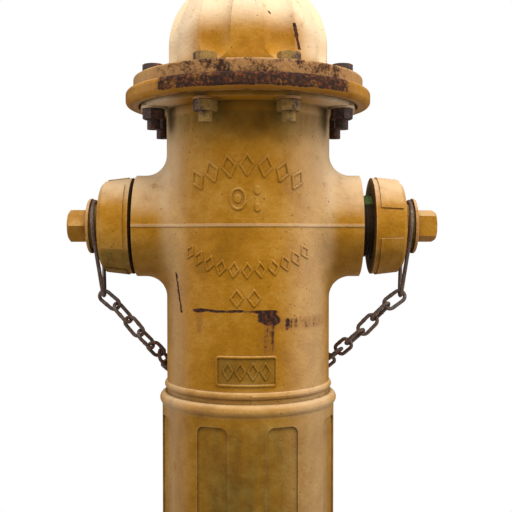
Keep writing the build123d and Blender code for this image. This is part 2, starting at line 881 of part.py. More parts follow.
def across_stem(radius, z):
    """A rod through the stem, along X."""
    length = 2 * (coupling_r + coupling_pin_overhang)
    return Pos(0, 0, z) * Rot(0, 90, 0) * Cylinder(radius, length)


def pinned(body):
    """A piece with the holes of the coupling's pins."""
    return body - [across_stem(coupling_pin_r + seat_gap, z) for z in pin_heights()]


def stem_coupling():
    """The sleeve that breaks at its groove when a vehicle strikes the barrel."""
    half = coupling_length / 2
    body = ring(coupling_r, stem_r + seat_gap, ground_z - half, ground_z + half)
    half_groove = coupling_groove / 2
    groove = ring(coupling_r + 1, coupling_groove_r, ground_z - half_groove, ground_z + half_groove)
    return pinned(body - groove)


def cotter_x():
    """Where a cotter crosses its pin."""
    return coupling_r + coupling_pin_overhang * 0.65


def coupling_pins():
    """The headed pins of the coupling, each drilled for a cotter."""
    pins = []
    for z in pin_heights():
        head = Pos(-coupling_r - pin_head_thickness / 2 - seat_gap, 0, z) * Rot(0, 90, 0)
        pin = across_stem(coupling_pin_r, z) + head * Cylinder(pin_head_r, pin_head_thickness)
        hole = Pos(cotter_x(), 0, z) * Cylinder(cotter_r + seat_gap, 4 * coupling_pin_r)
        pins.append(pin - hole)
    return pins


def cotter_pins():
    """The split pins that keep the coupling's pins in."""
    cotters = []
    for z in pin_heights():
        leg = Pos(cotter_x(), 0, z) * Cylinder(cotter_r, cotter_length)
        eye_z = z + cotter_length / 2 + 2 * cotter_r
        eye = Pos(cotter_x(), 0, eye_z) * Rot(90, 0, 0) * Torus(2.2 * cotter_r, cotter_r)
        cotters.append(leg + eye)
    return cotters


# Main valve


def valve_low_z():
    """The underside of the valve rubber."""
    return seat_z - seat_gap - valve_thickness


def cap_nut_low_z():
    """The underside of the nut below the valve."""
    return valve_low_z() - plate_thickness - washer_thickness - cap_nut_height


def facing_inner_r():
    """Where the arms end and the drain facings begin."""
    return drain_bore_r - slide_gap - facing_thickness


def facing_screw():
    """A screw that holds a drain facing to its arm, along X."""
    length = 2 * facing_thickness
    z = seat_z + hub_height - arm_height / 2
    middle = facing_inner_r() - facing_thickness / 4
    return Pos(middle, 0, z) * Rot(0, 90, 0) * Cylinder(facing_screw_r, length)


def upper_valve_plate():
    """The bronze plate above the valve rubber, with the arms of the drain valve."""
    top = seat_z + hub_height
    body = disc(valve_bore_r - slide_gap - 2, seat_z - seat_gap, seat_z + plate_thickness / 2)
    body += disc(hub_r, seat_z, top)
    reach = facing_inner_r()
    half = arm_width / 2
    body += block(-reach, reach, -half, half, top - arm_height, top)
    body -= [Rot(0, 0, turn) * facing_screw() for turn in (0, 180)]
    return body - disc(stem_r + seat_gap, seat_z - 1, top + 1)


def drain_facings():
    """The two faces that slide over the drain ports."""
    middle = seat_z + hub_height - arm_height / 2 + 5
    low = middle - facing_height / 2
    high = middle + facing_height / 2
    half = facing_width / 2
    outside = disc(drain_bore_r - slide_gap, low, high)
    face = outside & block(facing_inner_r(), drain_bore_r, -half, half, low, high)
    face -= facing_screw()
    return [Rot(0, 0, turn) * face for turn in (0, 180)]


def facing_screws():
    """The screws of the drain facings."""
    return [Rot(0, 0, turn) * facing_screw() for turn in (0, 180)]


def main_valve():
    """The rubber that closes on the seat."""
    rubber_r = valve_bore_r + valve_lap
    return ring(rubber_r, stem_r + seat_gap, valve_low_z(), seat_z - seat_gap)


def lower_valve_plate():
    """The plate under the valve rubber."""
    plate_r = valve_bore_r + valve_lap - plate_inset
    return ring(plate_r, stem_r + seat_gap, valve_low_z() - plate_thickness, valve_low_z())


def lock_washer():
    """The washer that locks the nut under the valve."""
    high = valve_low_z() - plate_thickness
    return ring(washer_r, stem_r + seat_gap, high - washer_thickness, high)


def cap_nut():
    """The closed nut that holds the valve to the stem."""
    low = cap_nut_low_z()
    high = low + cap_nut_height
    return hexagon(cap_nut_flats, low, high) - disc(stem_r + seat_gap, low + cap_nut_floor, high)


def seat_seal_heights():
    """Where the seat ring's seals lie."""
    return [seat_z + 4 * small_seal_r, seat_z + seat_ring_height - 4 * small_seal_r]


def seat_ring():
    """The bronze ring that the valve closes on."""
    body = ring(seat_ring_r, valve_bore_r, seat_z, seat_z + seat_ring_height)
    half = small_seal_r + seal_room
    inner = seat_ring_r - 2 * small_seal_r
    return body - [ring(seat_ring_r + 1, inner, z - half, z + half) for z in seat_seal_heights()]


def seat_seals():
    """The seat ring's rubber rings."""
    return [seal_ring(seat_ring_r - small_seal_r, small_seal_r, z) for z in seat_seal_heights()]


def drain_port(radius, low_r, high_r):
    """The holes that let the barrel drain, along X."""
    z = seat_z + seat_ring_height + 6 * drain_port_r + 26
    hole = Pos((low_r + high_r) / 2, 0, z) * Rot(0, 90, 0) * Cylinder(radius, high_r - low_r)
    return [Rot(0, 0, turn) * hole for turn in (0, 180)]


def drain_ring():
    """The bronze ring that carries the seat ring and the drain ports."""
    low = seat_z + 2
    body = ring(drain_ring_r, drain_bore_r, low, low + drain_ring_height)
    body += ring(drain_ring_r + drain_ring_lip, drain_bore_r, shoe_top_z - drain_ring_lip, shoe_top_z)
    body += ring(drain_bore_r + 1, seat_ring_r + seat_gap, low, seat_z + seat_ring_height)
    return body - drain_port(drain_port_r, drain_bore_r - 3, drain_ring_r + 1)


def housing_seal_r():
    """Radius of the seals above and below the drain ring housing."""
    return (drain_ring_r + drain_ring_lip + bolt_circle_r - bolt_hole_r) / 2


def drain_ring_housing():
    """The iron ring between the shoe and the lower barrel."""
    body = ring(housing_r, housing_bore_r, shoe_top_z, housing_top_z)
    lower_high = shoe_top_z + flange_thickness
    upper_low = housing_top_z - flange_thickness
    body += ring(flange_r, housing_bore_r, shoe_top_z, lower_high)
    body += ring(flange_r, housing_bore_r, upper_low, housing_top_z)
    body -= bolt_holes(shoe_top_z - 1, lower_high + 1)
    body -= bolt_holes(upper_low - 1, housing_top_z + 1)
    body -= seal_groove(housing_seal_r(), seal_r, shoe_top_z - 1, shoe_top_z + 2 * seal_r)
    body -= seal_groove(housing_seal_r(), seal_r, housing_top_z - 2 * seal_r, housing_top_z + 1)
    return body - drain_port(drain_port_r, housing_bore_r - 3, housing_r + 3)


def housing_seals():
    """The rubber rings above and below the drain ring housing."""
    heights = (shoe_top_z + seal_r, housing_top_z - seal_r)
    return [seal_ring(housing_seal_r(), seal_r, z) for z in heights]


# Lower barrel, safety flange and shoe


def lower_barrel():
    """The buried barrel, with a bolted foot and the collar that the safety flange pulls on."""
    foot_high = housing_top_z + flange_thickness
    body = ring(lower_r, bore_r, housing_top_z, ground_z)
    body += ring(flange_r, bore_r, housing_top_z, foot_high)
    body += ring(collar_r, bore_r, ground_z - collar_thickness, ground_z)
    body -= bolt_holes(housing_top_z - 1, foot_high + 1)
    return body - seal_groove(ground_seal_r(), seal_r, ground_z - 2 * seal_r, ground_z + 1)


def ground_seal_r():
    """Radius of the seal at the ground line, in the middle of the collar."""
    return (bore_r + collar_r) / 2


def safety_flange():
    """The two half rings under the collar, which break away in a collision."""
    high = ground_z - collar_thickness
    low = high - flange_thickness
    whole = ring(flange_r, lower_r + seat_gap, low, high)
    for piece in bolt_holes(low - 1, high + 1):
        whole -= piece
    half = safety_split / 2
    front = whole & block(-flange_r, flange_r, -flange_r, -half, low, high)
    return [front, whole & block(-flange_r, flange_r, half, flange_r, low, high)]


def shoe():
    """The iron elbow at the foot, with the inlet's flange."""
    inlet = Pos(0, 0, inlet_height) * Rot(-90, 0, 0)
    bolt_low = shoe_top_z - flange_thickness
    flange_start = inlet_reach - inlet_flange_thickness
    body = disc(foot_r, 0, foot_thickness) + disc(shoe_r, 0, shoe_top_z)
    body += disc(flange_r, bolt_low, shoe_top_z)
    body += inlet * disc(inlet_bore_r + inlet_wall, 0, inlet_reach)
    body += inlet * disc(inlet_flange_r, flange_start, inlet_reach)
    body -= disc(shoe_bore_r, shoe_floor, shoe_top_z + 1)
    body -= disc(drain_ring_r + drain_ring_lip + seat_gap, shoe_top_z - drain_ring_lip, shoe_top_z + 1)
    body -= inlet * disc(inlet_bore_r, 0, inlet_reach + 1)
    hole = Pos(inlet_bolt_circle_r, 0, 0) * disc(inlet_hole_r, flange_start - 1, inlet_reach + 1)
    body -= [inlet * piece for piece in around(hole, inlet_hole_count)]
    return body - bolt_holes(bolt_low - 1, shoe_top_z + 1)


# The whole hydrant


def outlet_parts():
    """The nozzles, caps, rings and chains of the three outlets."""
    hose = (hose_face, hose_thread_r, hose_bore_r, hose_nozzle_reach)
    pumper = (pumper_face, pumper_thread_r, pumper_bore_r, pumper_nozzle_reach)
    hose_ring = (hose_ring_tail, hose_ring_lean)
    pumper_ring = (pumper_ring_tail, pumper_ring_lean)
    outlets = [
        ("left_hose", LEFT, hose, hose_ring, left_chain_route, -shackle_spread),
        ("right_hose", RIGHT, hose, hose_ring, right_chain_route, shackle_spread),
        ("pumper", BACK, pumper, pumper_ring, pumper_chain_route, 0.0),
    ]
    back_off = {"left_hose": 0.0, "right_hose": right_cap_back_off, "pumper": 0.0}
    first_pad = {"left_hose": left_pad_angle, "right_hose": right_pad_angle, "pumper": 0.0}
    parts = {"nozzle_seals": [], "nozzle_locks": []}
    for name, direction, sizes, loop, route, shackle_angle in outlets:
        face, thread_r, nozzle_bore_r, reach = sizes
        tail, lean = loop
        shank_r = thread_r + shank_step
        edge = face + cap_edge_gap + back_off[name]
        start = ring_tail_point(direction, edge, reach, tail, lean)
        points = route_points(direction, route)
        end = shackle_point(shackle_angle)
        parts[f"{name}_nozzle"] = nozzle(direction, face, thread_r, nozzle_bore_r, reach)
        parts[f"{name}_cap"] = outlet_cap(direction, edge, thread_r, reach, first_pad[name])
        parts[f"{name}_cap_gasket"] = cap_gasket(direction, edge, thread_r, reach)
        parts[f"{name}_chain_ring"] = chain_ring(direction, edge, reach, tail, lean)
        parts[f"{name}_chain"] = chain(start, points, end, direction)
        parts["nozzle_seals"].append(nozzle_seal(direction, shank_r, face))
        parts["nozzle_locks"].append(nozzle_lock(direction, shank_r, face))
    return parts


def head_parts():
    """The bonnet and what turns in it."""
    return {
        "bonnet": bonnet(),
        "oil_filler_plug": oil_filler_plug(),
        "bonnet_seal": seal_ring(top_seal_r(), seal_r, barrel_top_z - seal_r),
        "bonnet_bolts": flange_bolts(
            dome_base_z + bolt_seat_height, barrel_top_z - flange_thickness - pad_thickness
        ),
        "bonnet_nuts": flange_nuts(barrel_top_z - flange_thickness - pad_thickness),
        "stem_seals": stem_seals(),
        "operating_nut": operating_nut(),
        "thrust_washer": thrust_washer(),
        "hold_down_nut": hold_down_nut(),
        "hold_down_seals": hold_down_seals(),
        "weather_cap": weather_cap(),
    }


def valve_parts():
    """The stem and the valve that it works."""
    return {
        "upper_stem": pinned(upper_stem()),
        "lower_stem": pinned(lower_stem()),
        "stem_coupling": stem_coupling(),
        "coupling_pins": coupling_pins(),
        "cotter_pins": cotter_pins(),
        "upper_valve_plate": upper_valve_plate(),
        "drain_facings": drain_facings(),
        "facing_screws": facing_screws(),
        "main_valve": main_valve(),
        "lower_valve_plate": lower_valve_plate(),
        "lock_washer": lock_washer(),
        "cap_nut": cap_nut(),
        "seat_ring": seat_ring(),
        "seat_ring_seals": seat_seals(),
    }


def body_parts():
    """The barrels, the shoe and their bolting."""
    safety_low = ground_z - collar_thickness - flange_thickness
    return {
        "upper_barrel": upper_barrel(),
        "chain_shackle": chain_shackle(),
        "safety_flange": safety_flange(),
        "safety_flange_bolts": flange_bolts(ground_z + flange_thickness, safety_low),
        "safety_flange_nuts": flange_nuts(safety_low),
        "ground_seal": seal_ring(ground_seal_r(), seal_r, ground_z - seal_r),
        "lower_barrel": lower_barrel(),
        "drain_ring": drain_ring(),
        "drain_ring_housing": drain_ring_housing(),
        "housing_seals": housing_seals(),
        "housing_bolts": flange_bolts(
            housing_top_z + flange_thickness, housing_top_z - flange_thickness
        ),
        "housing_nuts": flange_nuts(housing_top_z - flange_thickness),
        "shoe": shoe(),
        "shoe_bolts": flange_bolts(shoe_top_z + flange_thickness, shoe_top_z - flange_thickness),
        "shoe_nuts": flange_nuts(shoe_top_z - flange_thickness),
    }


def save(name, piece):
    """Write one node: a single solid, or several separate ones."""
    solids = piece if isinstance(piece, list) else [piece]
    shape = Compound([solid for part in solids for solid in part.solids()])
    export_step(shape, f"parts/{name}.step")


def main():
    """Write every piece of the hydrant."""
    os.makedirs("parts", exist_ok=True)
    for group in (head_parts(), valve_parts(), body_parts(), outlet_parts()):
        for name, piece in group.items():
            save(name, piece)


if __name__ == "__main__":
    main()
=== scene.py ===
import math

import bmesh
import bpy
import numpy as np
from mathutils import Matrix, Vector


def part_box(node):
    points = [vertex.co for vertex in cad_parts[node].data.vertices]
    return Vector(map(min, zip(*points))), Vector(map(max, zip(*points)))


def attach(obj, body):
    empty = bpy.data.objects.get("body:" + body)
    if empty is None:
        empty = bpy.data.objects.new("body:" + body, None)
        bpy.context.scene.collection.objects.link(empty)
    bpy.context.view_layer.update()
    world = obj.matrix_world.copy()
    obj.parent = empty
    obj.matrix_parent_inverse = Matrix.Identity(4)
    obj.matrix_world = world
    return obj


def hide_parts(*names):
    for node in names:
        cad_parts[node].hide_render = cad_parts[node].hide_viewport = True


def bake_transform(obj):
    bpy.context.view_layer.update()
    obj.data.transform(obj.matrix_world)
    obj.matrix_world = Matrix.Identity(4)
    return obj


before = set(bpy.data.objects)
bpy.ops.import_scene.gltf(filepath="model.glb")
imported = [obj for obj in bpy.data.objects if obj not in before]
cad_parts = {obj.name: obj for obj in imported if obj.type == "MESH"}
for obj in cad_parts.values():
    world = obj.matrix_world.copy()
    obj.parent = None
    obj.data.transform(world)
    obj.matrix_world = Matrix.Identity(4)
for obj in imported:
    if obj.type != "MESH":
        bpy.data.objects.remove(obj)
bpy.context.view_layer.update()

bl_info = {
    "name": "Street hydrant finish",
    "version": (1, 0, 0),
    "blender": (4, 5, 0),
    "location": "View3D > Sidebar > Hydrant",
    "description": "Threads, chains, cast marks and weathered finishes for a dry-barrel hydrant",
    "category": "Object",
}

# Places on the frame, in metres
RIGHT_NOZZLE = [np.array(corner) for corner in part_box("right_hose_nozzle")]
LEFT_NOZZLE = [np.array(corner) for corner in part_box("left_hose_nozzle")]
PUMPER_NOZZLE = [np.array(corner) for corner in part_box("pumper_nozzle")]
BONNET = [np.array(corner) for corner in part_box("bonnet")]
OUTLET_Z = float(RIGHT_NOZZLE[0][2] + RIGHT_NOZZLE[1][2]) / 2
RIM_Z = float(BONNET[0][2])

# A nozzle's own sizes, in metres
SHANK_LENGTH = 0.040  # inside the boss
SHANK_STEP = 0.005  # the shank's radius beyond the thread's
THREAD_LAP = 0.002  # thread that starts inside the boss
LIP_CHAMFER = 0.0015
BORE_CHAMFER = 0.0012
SEAL_HALF_WIDTH = 0.0018  # of the groove for the seal round the shank
SEAL_DEPTH = 0.003


def barrel_radius():
    """The plain barrel's radius, where a level line from the front meets it."""
    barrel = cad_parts["upper_barrel"]
    hit, place, _, _ = barrel.ray_cast((0.0, -1.0, OUTLET_Z + 0.05), (0.0, 1.0, 0.0))
    if not hit:
        raise RuntimeError("the barrel has no front to carry the cast marks")
    return -place.y


BARREL_R = barrel_radius()


# Surfaces


def grid_faces(rows, columns, wrap_rows=False, wrap_columns=False):
    """Four-sided faces between neighbouring points of a rows by columns grid."""
    row = np.arange(rows if wrap_rows else rows - 1)[:, None]
    column = np.arange(columns if wrap_columns else columns - 1)[None, :]
    next_row = (row + 1) % rows
    next_column = (column + 1) % columns
    corners = [
        row * columns + column,
        row * columns + next_column,
        next_row * columns + next_column,
        next_row * columns + column,
    ]
    return np.stack(corners, axis=-1).reshape(-1, 4)


def repeated(faces, points_each, count):
    """The same faces for each of several equal grids that follow one another."""
    shift = np.arange(count)[:, None, None] * points_each
    return (faces[None] + shift).reshape(-1, 4)


def facing_out(points, faces):
    """The faces turned so that the closed surface holds a positive volume: a third of the sum
    of corner times the cross product of the next two, over each face's two triangles."""
    a, b, c, d = (points[faces[:, i]] for i in range(4))
    volume = np.einsum("ij,ij->", a, np.cross(b, c)) + np.einsum("ij,ij->", a, np.cross(c, d))
    return faces if volume > 0 else faces[:, ::-1]


def closed_piece(name, points, faces, sharp_degrees=40.0):
    """A mesh object made of grid points, with its poles merged and its creases kept sharp."""
    points = points.reshape(-1, 3)
    faces = facing_out(points, faces)
    mesh = bpy.data.meshes.new(name)
    mesh.from_pydata(points.tolist(), [], faces.tolist())
    shape = bmesh.new()
    shape.from_mesh(mesh)
    bmesh.ops.remove_doubles(shape, verts=shape.verts, dist=1e-7)
    bmesh.ops.dissolve_degenerate(shape, edges=shape.edges, dist=1e-8)
    shape.to_mesh(mesh)
    shape.free()
    mesh.polygons.foreach_set("use_smooth", np.ones(len(mesh.polygons), dtype=bool))
    mesh.set_sharp_from_angle(angle=math.radians(sharp_degrees))
    mesh.update()
    piece = bpy.data.objects.new(name, mesh)
    bpy.context.scene.collection.objects.link(piece)
    return piece


def stadium(share, half_straight, bend_r):
    """A round-ended loop: its middle slides along the straight while its heading stands still,
    and its heading turns half a circle at each end. Gives the point and the way out of it."""
    straight = 2 * half_straight
    bend = math.pi * bend_r
    knots = np.cumsum([0, straight, bend, straight, bend])
    travelled = share * knots[-1]
    middle = np.interp(travelled, knots, half_straight * np.array([-1, 1, 1, -1, -1]))
    heading = np.interp(travelled, knots, math.pi * np.array([0, 0, 1, 1, 2]))
    out = np.stack([np.sin(heading), -np.cos(heading)], axis=-1)
    point = bend_r * out
    point[..., 0] += middle
    return point, out


def value_noise(points, size, seed):
    """Smooth noise about 0, mostly within 1: six sine waves in fixed scattered directions."""
    chance = np.random.default_rng(seed)
    directions = chance.normal(size=(6, 3))
    directions /= np.linalg.norm(directions, axis=1, keepdims=True)
    phases = chance.uniform(0, 2 * math.pi, 6)
    waves = np.sin(points @ directions.T * (2 * math.pi / size) + phases)
    return waves.mean(axis=-1) * 1.6


# Nozzle threads


def thread_radius(nozzle):
    """A nozzle's thread radius, from the height of its box, which its shank fills."""
    return (nozzle[1][2] - nozzle[0][2]) / 2 - SHANK_STEP


def threaded_radius(height, turn, thread_r, pitch, start, end):
    """The radius of a rounded V thread: a triangle wave of height over pitch less the turn,
    softened, its depth fading to nothing over a pitch and a half at the start and the end."""
    phase = height / pitch - turn / (2 * math.pi)
    wave = np.abs((phase % 1.0) * 2 - 1)
    valley = np.clip(wave * 1.25 - 0.12, 0, 1)
    rise = np.clip((height - start) / pitch, 0, 1)
    fall = np.clip((end - height) / pitch, 0, 1)
    fade = rise * rise * (3 - 2 * rise) * fall * fall * (3 - 2 * fall)
    return thread_r - 0.6 * pitch * valley * fade


def nozzle_profile(thread_r, bore_r, face, end, pitch):
    """A nozzle's outline as radius and height: up the shank and the thread, round the lip, and
    down the bore. The last column is 1 on the thread."""
    shank_r = thread_r + SHANK_STEP
    low = face - SHANK_LENGTH
    seal = low + 0.008
    thread_low = face - THREAD_LAP
    thread_high = end - LIP_CHAMFER
    samples = max(24, int(14 * (thread_high - thread_low) / pitch))
    heights = np.linspace(thread_low, thread_high, samples)
    thread = np.stack([np.full(samples, thread_r), heights, np.ones(samples)], axis=1)
    before = [
        (bore_r, low, 0),
        (shank_r, low, 0),
        (shank_r, seal - SEAL_HALF_WIDTH, 0),
        (shank_r - SEAL_DEPTH, seal - SEAL_HALF_WIDTH, 0),
        (shank_r - SEAL_DEPTH, seal + SEAL_HALF_WIDTH, 0),
        (shank_r, seal + SEAL_HALF_WIDTH, 0),
        (shank_r, thread_low, 0),
    ]
    after = [
        (thread_r - LIP_CHAMFER, end, 0),
        (bore_r + BORE_CHAMFER, end, 0),
        (bore_r, end - BORE_CHAMFER, 0),
    ]
    return np.vstack([before, thread, after])


def threaded_nozzle(name, axis, thread_r, bore_r, face, end, threads_per_inch, columns):
    """A nozzle turned about an outlet's line: its outline carried round in equal turns, with the
    thread cut where the outline says so."""
    pitch = 0.0254 / threads_per_inch
    profile = nozzle_profile(thread_r, bore_r, face, end, pitch)
    turn = np.arange(columns) * (2 * math.pi / columns)
    height = profile[:, 1][:, None] + 0 * turn[None, :]
    start, stop = face - THREAD_LAP, end - LIP_CHAMFER
    cut = threaded_radius(height, turn[None, :], thread_r, pitch, start, stop)
    plain = profile[:, 0][:, None] + 0 * turn[None, :]
    radius = np.where(profile[:, 2][:, None] > 0, cut, plain)
    across = radius * np.cos(turn)[None, :]
    upward = OUTLET_Z + radius * np.sin(turn)[None, :]
    if axis == "pumper":
        points = np.stack([across, height, upward], axis=-1)
    else:
        side = 1.0 if axis == "right" else -1.0
        points = np.stack([side * height, across, upward], axis=-1)
    faces = grid_faces(len(profile), columns, wrap_rows=True, wrap_columns=True)
    return closed_piece(name, points, faces, 50.0)


# Chains


def solids_of(node):
    """Each separate solid of a node as an array of its points. Points on one triangle share the
    lowest label among them, over and over until no label changes."""
    shape = bmesh.new()
    shape.from_mesh(node.data)
    bmesh.ops.remove_doubles(shape, verts=shape.verts, dist=2e-6)
    shape.verts.index_update()
    points = np.array([vertex.co[:] for vertex in shape.verts])
    edges = np.array([[end.index for end in edge.verts] for edge in shape.edges])
    shape.free()
    labels = np.arange(len(points))
    settled = False
    while not settled:
        lowest = np.minimum(labels[edges[:, 0]], labels[edges[:, 1]])
        spread = labels.copy()
        np.minimum.at(spread, edges[:, 0], lowest)
        np.minimum.at(spread, edges[:, 1], lowest)
        settled = bool((spread == labels).all())
        labels = spread
    return [points[labels == label] for label in np.unique(labels)]


def link_frame(points):
    """A link's middle and its long, wide and flat directions, from the spread of its points."""
    middle = points.mean(axis=0)
    _, directions = np.linalg.eigh(np.cov((points - middle).T))
    directions = directions[:, ::-1].T
    reach = (points - middle) @ directions.T
    middle = middle + ((reach.max(axis=0) + reach.min(axis=0)) / 2) @ directions
    directions[2] = np.cross(directions[0], directions[1])
    return middle, directions


def welded_links(name, node, wire_r, inner_length, inner_width):
    """Smooth links on a chain node's places: a round wire carried along a round-ended loop, with
    a bead at the middle of one straight where it was welded."""
    frames = [link_frame(points) for points in solids_of(node)]
    middles = np.array([middle for middle, _ in frames])
    directions = np.array([rows for _, rows in frames])
    steps, sides = 64, 14
    along = np.arange(steps) / steps
    round_wire = np.arange(sides) * (2 * math.pi / sides)
    bend_r = inner_width / 2 + wire_r
    half_straight = (inner_length - inner_width) / 2
    centre, out = stadium(along, half_straight, bend_r)
    to_weld = np.abs(centre[:, 0]) + 1.0 * (centre[:, 1] > 0)
    radius = wire_r * (1 + 0.13 * np.exp(-((to_weld / 0.0016) ** 2)))
    sideways = centre[:, None, :] + out[:, None, :] * (radius[:, None] * np.cos(round_wire))[..., None]
    thick = radius[:, None] * np.sin(round_wire)
    local = np.concatenate([sideways, thick[..., None]], axis=-1)
    points = np.einsum("uvk,nkj->nuvj", local, directions) + middles[:, None, None, :]
    faces = grid_faces(steps, sides, wrap_rows=True, wrap_columns=True)
    faces = repeated(faces, steps * sides, len(frames))
    return closed_piece(name, points, faces, 60.0)


# Cast marks


def on_barrel(across, up, out):
    """A point on the barrel's front: across is a length round the barrel, up is a height from
    the outlets' line and out is how far it stands off the iron."""
    angle = across / BARREL_R
    radius = BARREL_R + out
    return np.stack([radius * np.sin(angle), -radius * np.cos(angle), OUTLET_Z + up], axis=-1)


def raised_pads(name, centres, leans, half_width, half_height, power, relief):
    """Low pads cast on the barrel. Each outline is a superellipse: width by cosine and height by
    sine, each to the power given. From the middle the top stays level, rounds over and goes down
    into the iron."""
    share = np.array([0.0, 0.45, 0.74, 0.86, 0.94, 0.985, 1.0, 1.0, 0.0])
    height = relief * np.array([1.0, 1.0, 0.98, 0.9, 0.7, 0.38, 0.1, -1.0, -1.0])
    columns = 40
    turn = np.arange(columns) * (2 * math.pi / columns)
    cosine, sine = np.cos(turn), np.sin(turn)
    wide = half_width * np.sign(cosine) * np.abs(cosine) ** power
    tall = half_height * np.sign(sine) * np.abs(sine) ** power
    wide = share[:, None] * wide[None, :]
    tall = share[:, None] * tall[None, :]
    leans = np.asarray(leans)[:, None, None]
    across = centres[:, 0][:, None, None] + wide * np.cos(leans) + tall * np.sin(leans)
    up = centres[:, 1][:, None, None] - wide * np.sin(leans) + tall * np.cos(leans)
    out = np.broadcast_to(height[:, None], up.shape[1:])[None] + 0 * up
    points = on_barrel(across, up, out)
    rows = len(share)
    faces = grid_faces(rows, columns, wrap_columns=True)
    faces = repeated(faces, rows * columns, len(centres))
    return closed_piece(name, points, faces, 70.0)


def diamond(half_width, half_height):
    """A diamond outline: width by a cosine and height by a sine, each squared with its sign."""
    turn = np.arange(72) * (2 * math.pi / 72)
    cosine, sine = np.cos(turn), np.sin(turn)
    return np.stack([half_width * cosine * np.abs(cosine), half_height * sine * np.abs(sine)], axis=-1)


def oval(half_width, half_height):
    """An oval outline: width by a cosine and height by a sine."""
    turn = np.arange(72) * (2 * math.pi / 72)
    return np.stack([half_width * np.cos(turn), half_height * np.sin(turn)], axis=-1)


def plate_outline(half_width, half_height, corner_r):
    """A rectangle with round corners: where each direction leaves the rectangle, its nearest
    point on the smaller rectangle of the corners' middles plus the corner's radius."""
    turn = np.arange(120) * (2 * math.pi / 120)
    cosine, sine = np.cos(turn), np.sin(turn)
    reach = np.minimum(
        half_width / np.maximum(np.abs(cosine), 1e-6),
        half_height / np.maximum(np.abs(sine), 1e-6),
    )
    edge = np.stack([reach * cosine, reach * sine], axis=-1)
    inner = np.array([half_width - corner_r, half_height - corner_r])
    core = np.clip(edge, -inner, inner)
    away = edge - core
    return core + corner_r * away / np.linalg.norm(away, axis=-1, keepdims=True)


def raised_borders(name, outline, centres, leans, wire_r):
    """Half-round borders cast on the barrel: a wire carried round an outline, with its sideways
    direction square to the line between each point's two neighbours. The outline is turned by
    each lean and moved to each centre."""
    before, after = np.roll(outline, 1, axis=0), np.roll(outline, -1, axis=0)
    ahead = after - before
    away = np.stack([ahead[:, 1], -ahead[:, 0]], axis=-1)
    away /= np.linalg.norm(away, axis=-1, keepdims=True)
    sides = 10
    wire = np.arange(sides) * (2 * math.pi / sides)
    flat = outline[:, None, :] + away[:, None, :] * (wire_r * np.cos(wire))[None, :, None]
    leans = np.asarray(leans)[:, None, None]
    x, y = flat[None, :, :, 0], flat[None, :, :, 1]
    across = centres[:, 0][:, None, None] + x * np.cos(leans) + y * np.sin(leans)
    up = centres[:, 1][:, None, None] - x * np.sin(leans) + y * np.cos(leans)
    out = (wire_r * np.sin(wire))[None, None, :] + 0 * up
    points = on_barrel(across, up, out)
    rows = len(outline)
    faces = grid_faces(rows, sides, wrap_rows=True, wrap_columns=True)
    faces = repeated(faces, rows * sides, len(centres))
    return closed_piece(name, points, faces, 60.0)


def arch(count, spread, radius, middle_up, hollow):
    """Evenly spaced places on an arc about a point on the barrel's middle line, and the lean that
    makes each place point away from that middle. A hollow arc hangs below its middle."""
    lean = np.linspace(-spread, spread, count)
    side = -1.0 if hollow else 1.0
    centres = np.stack([radius * np.sin(lean), middle_up + side * radius * np.cos(lean)], axis=-1)
    return centres, lean * side


# Moss


def moss_cushion(name, radius, start, length, middle_turn, half_turn):
    """A cushion of moss on the right nozzle: its height is a product of two half sine waves over
    the turn and the length, roughened by noise, and it closes underneath on the thread."""
    rows, half_columns = 72, 20
    across = np.linspace(0, 1, rows)[:, None]
    along = np.linspace(0, 1, half_columns)[None, :]
    dome = (np.sin(math.pi * across) ** 0.6) * (np.sin(math.pi * along) ** 0.45)
    turn = middle_turn + half_turn * (2 * across - 1) + 0 * along
    place = start + length * along + 0 * across
    seedling = np.stack([turn * radius, place, 0 * place], axis=-1)
    rough = value_noise(seedling, 0.0055, 3) * 0.35 + value_noise(seedling, 0.0021, 5) * 0.22
    height = 0.0042 * dome * (1 + rough)
    top = radius - 0.0006 + height
    bottom = np.full_like(top, radius - 0.0012)
    r = np.concatenate([top, bottom[:, ::-1]], axis=1)
    turns = np.concatenate([turn, turn[:, ::-1]], axis=1)
    places = np.concatenate([place, place[:, ::-1]], axis=1)
    points = np.stack([places, r * np.cos(turns), OUTLET_Z + r * np.sin(turns)], axis=-1)
    faces = grid_faces(rows, 2 * half_columns, wrap_columns=True)
    return closed_piece(name, points, faces, 180.0)


# Shader maths


class Signal:
    """A shader socket in arithmetic: each operator adds a Math node and gives its result."""

    def __init__(self, graph, socket):
        self.graph = graph
        self.socket = socket

    def __add__(self, other):
        return self.graph.maths("ADD", self, other)

    def __sub__(self, other):
        return self.graph.maths("SUBTRACT", self, other)

    def __rsub__(self, other):
        return self.graph.maths("SUBTRACT", other, self)

    def __mul__(self, other):
        return self.graph.maths("MULTIPLY", self, other)

    def __abs__(self):
        return self.graph.maths("ABSOLUTE", self)

    __radd__ = __add__
    __rmul__ = __mul__


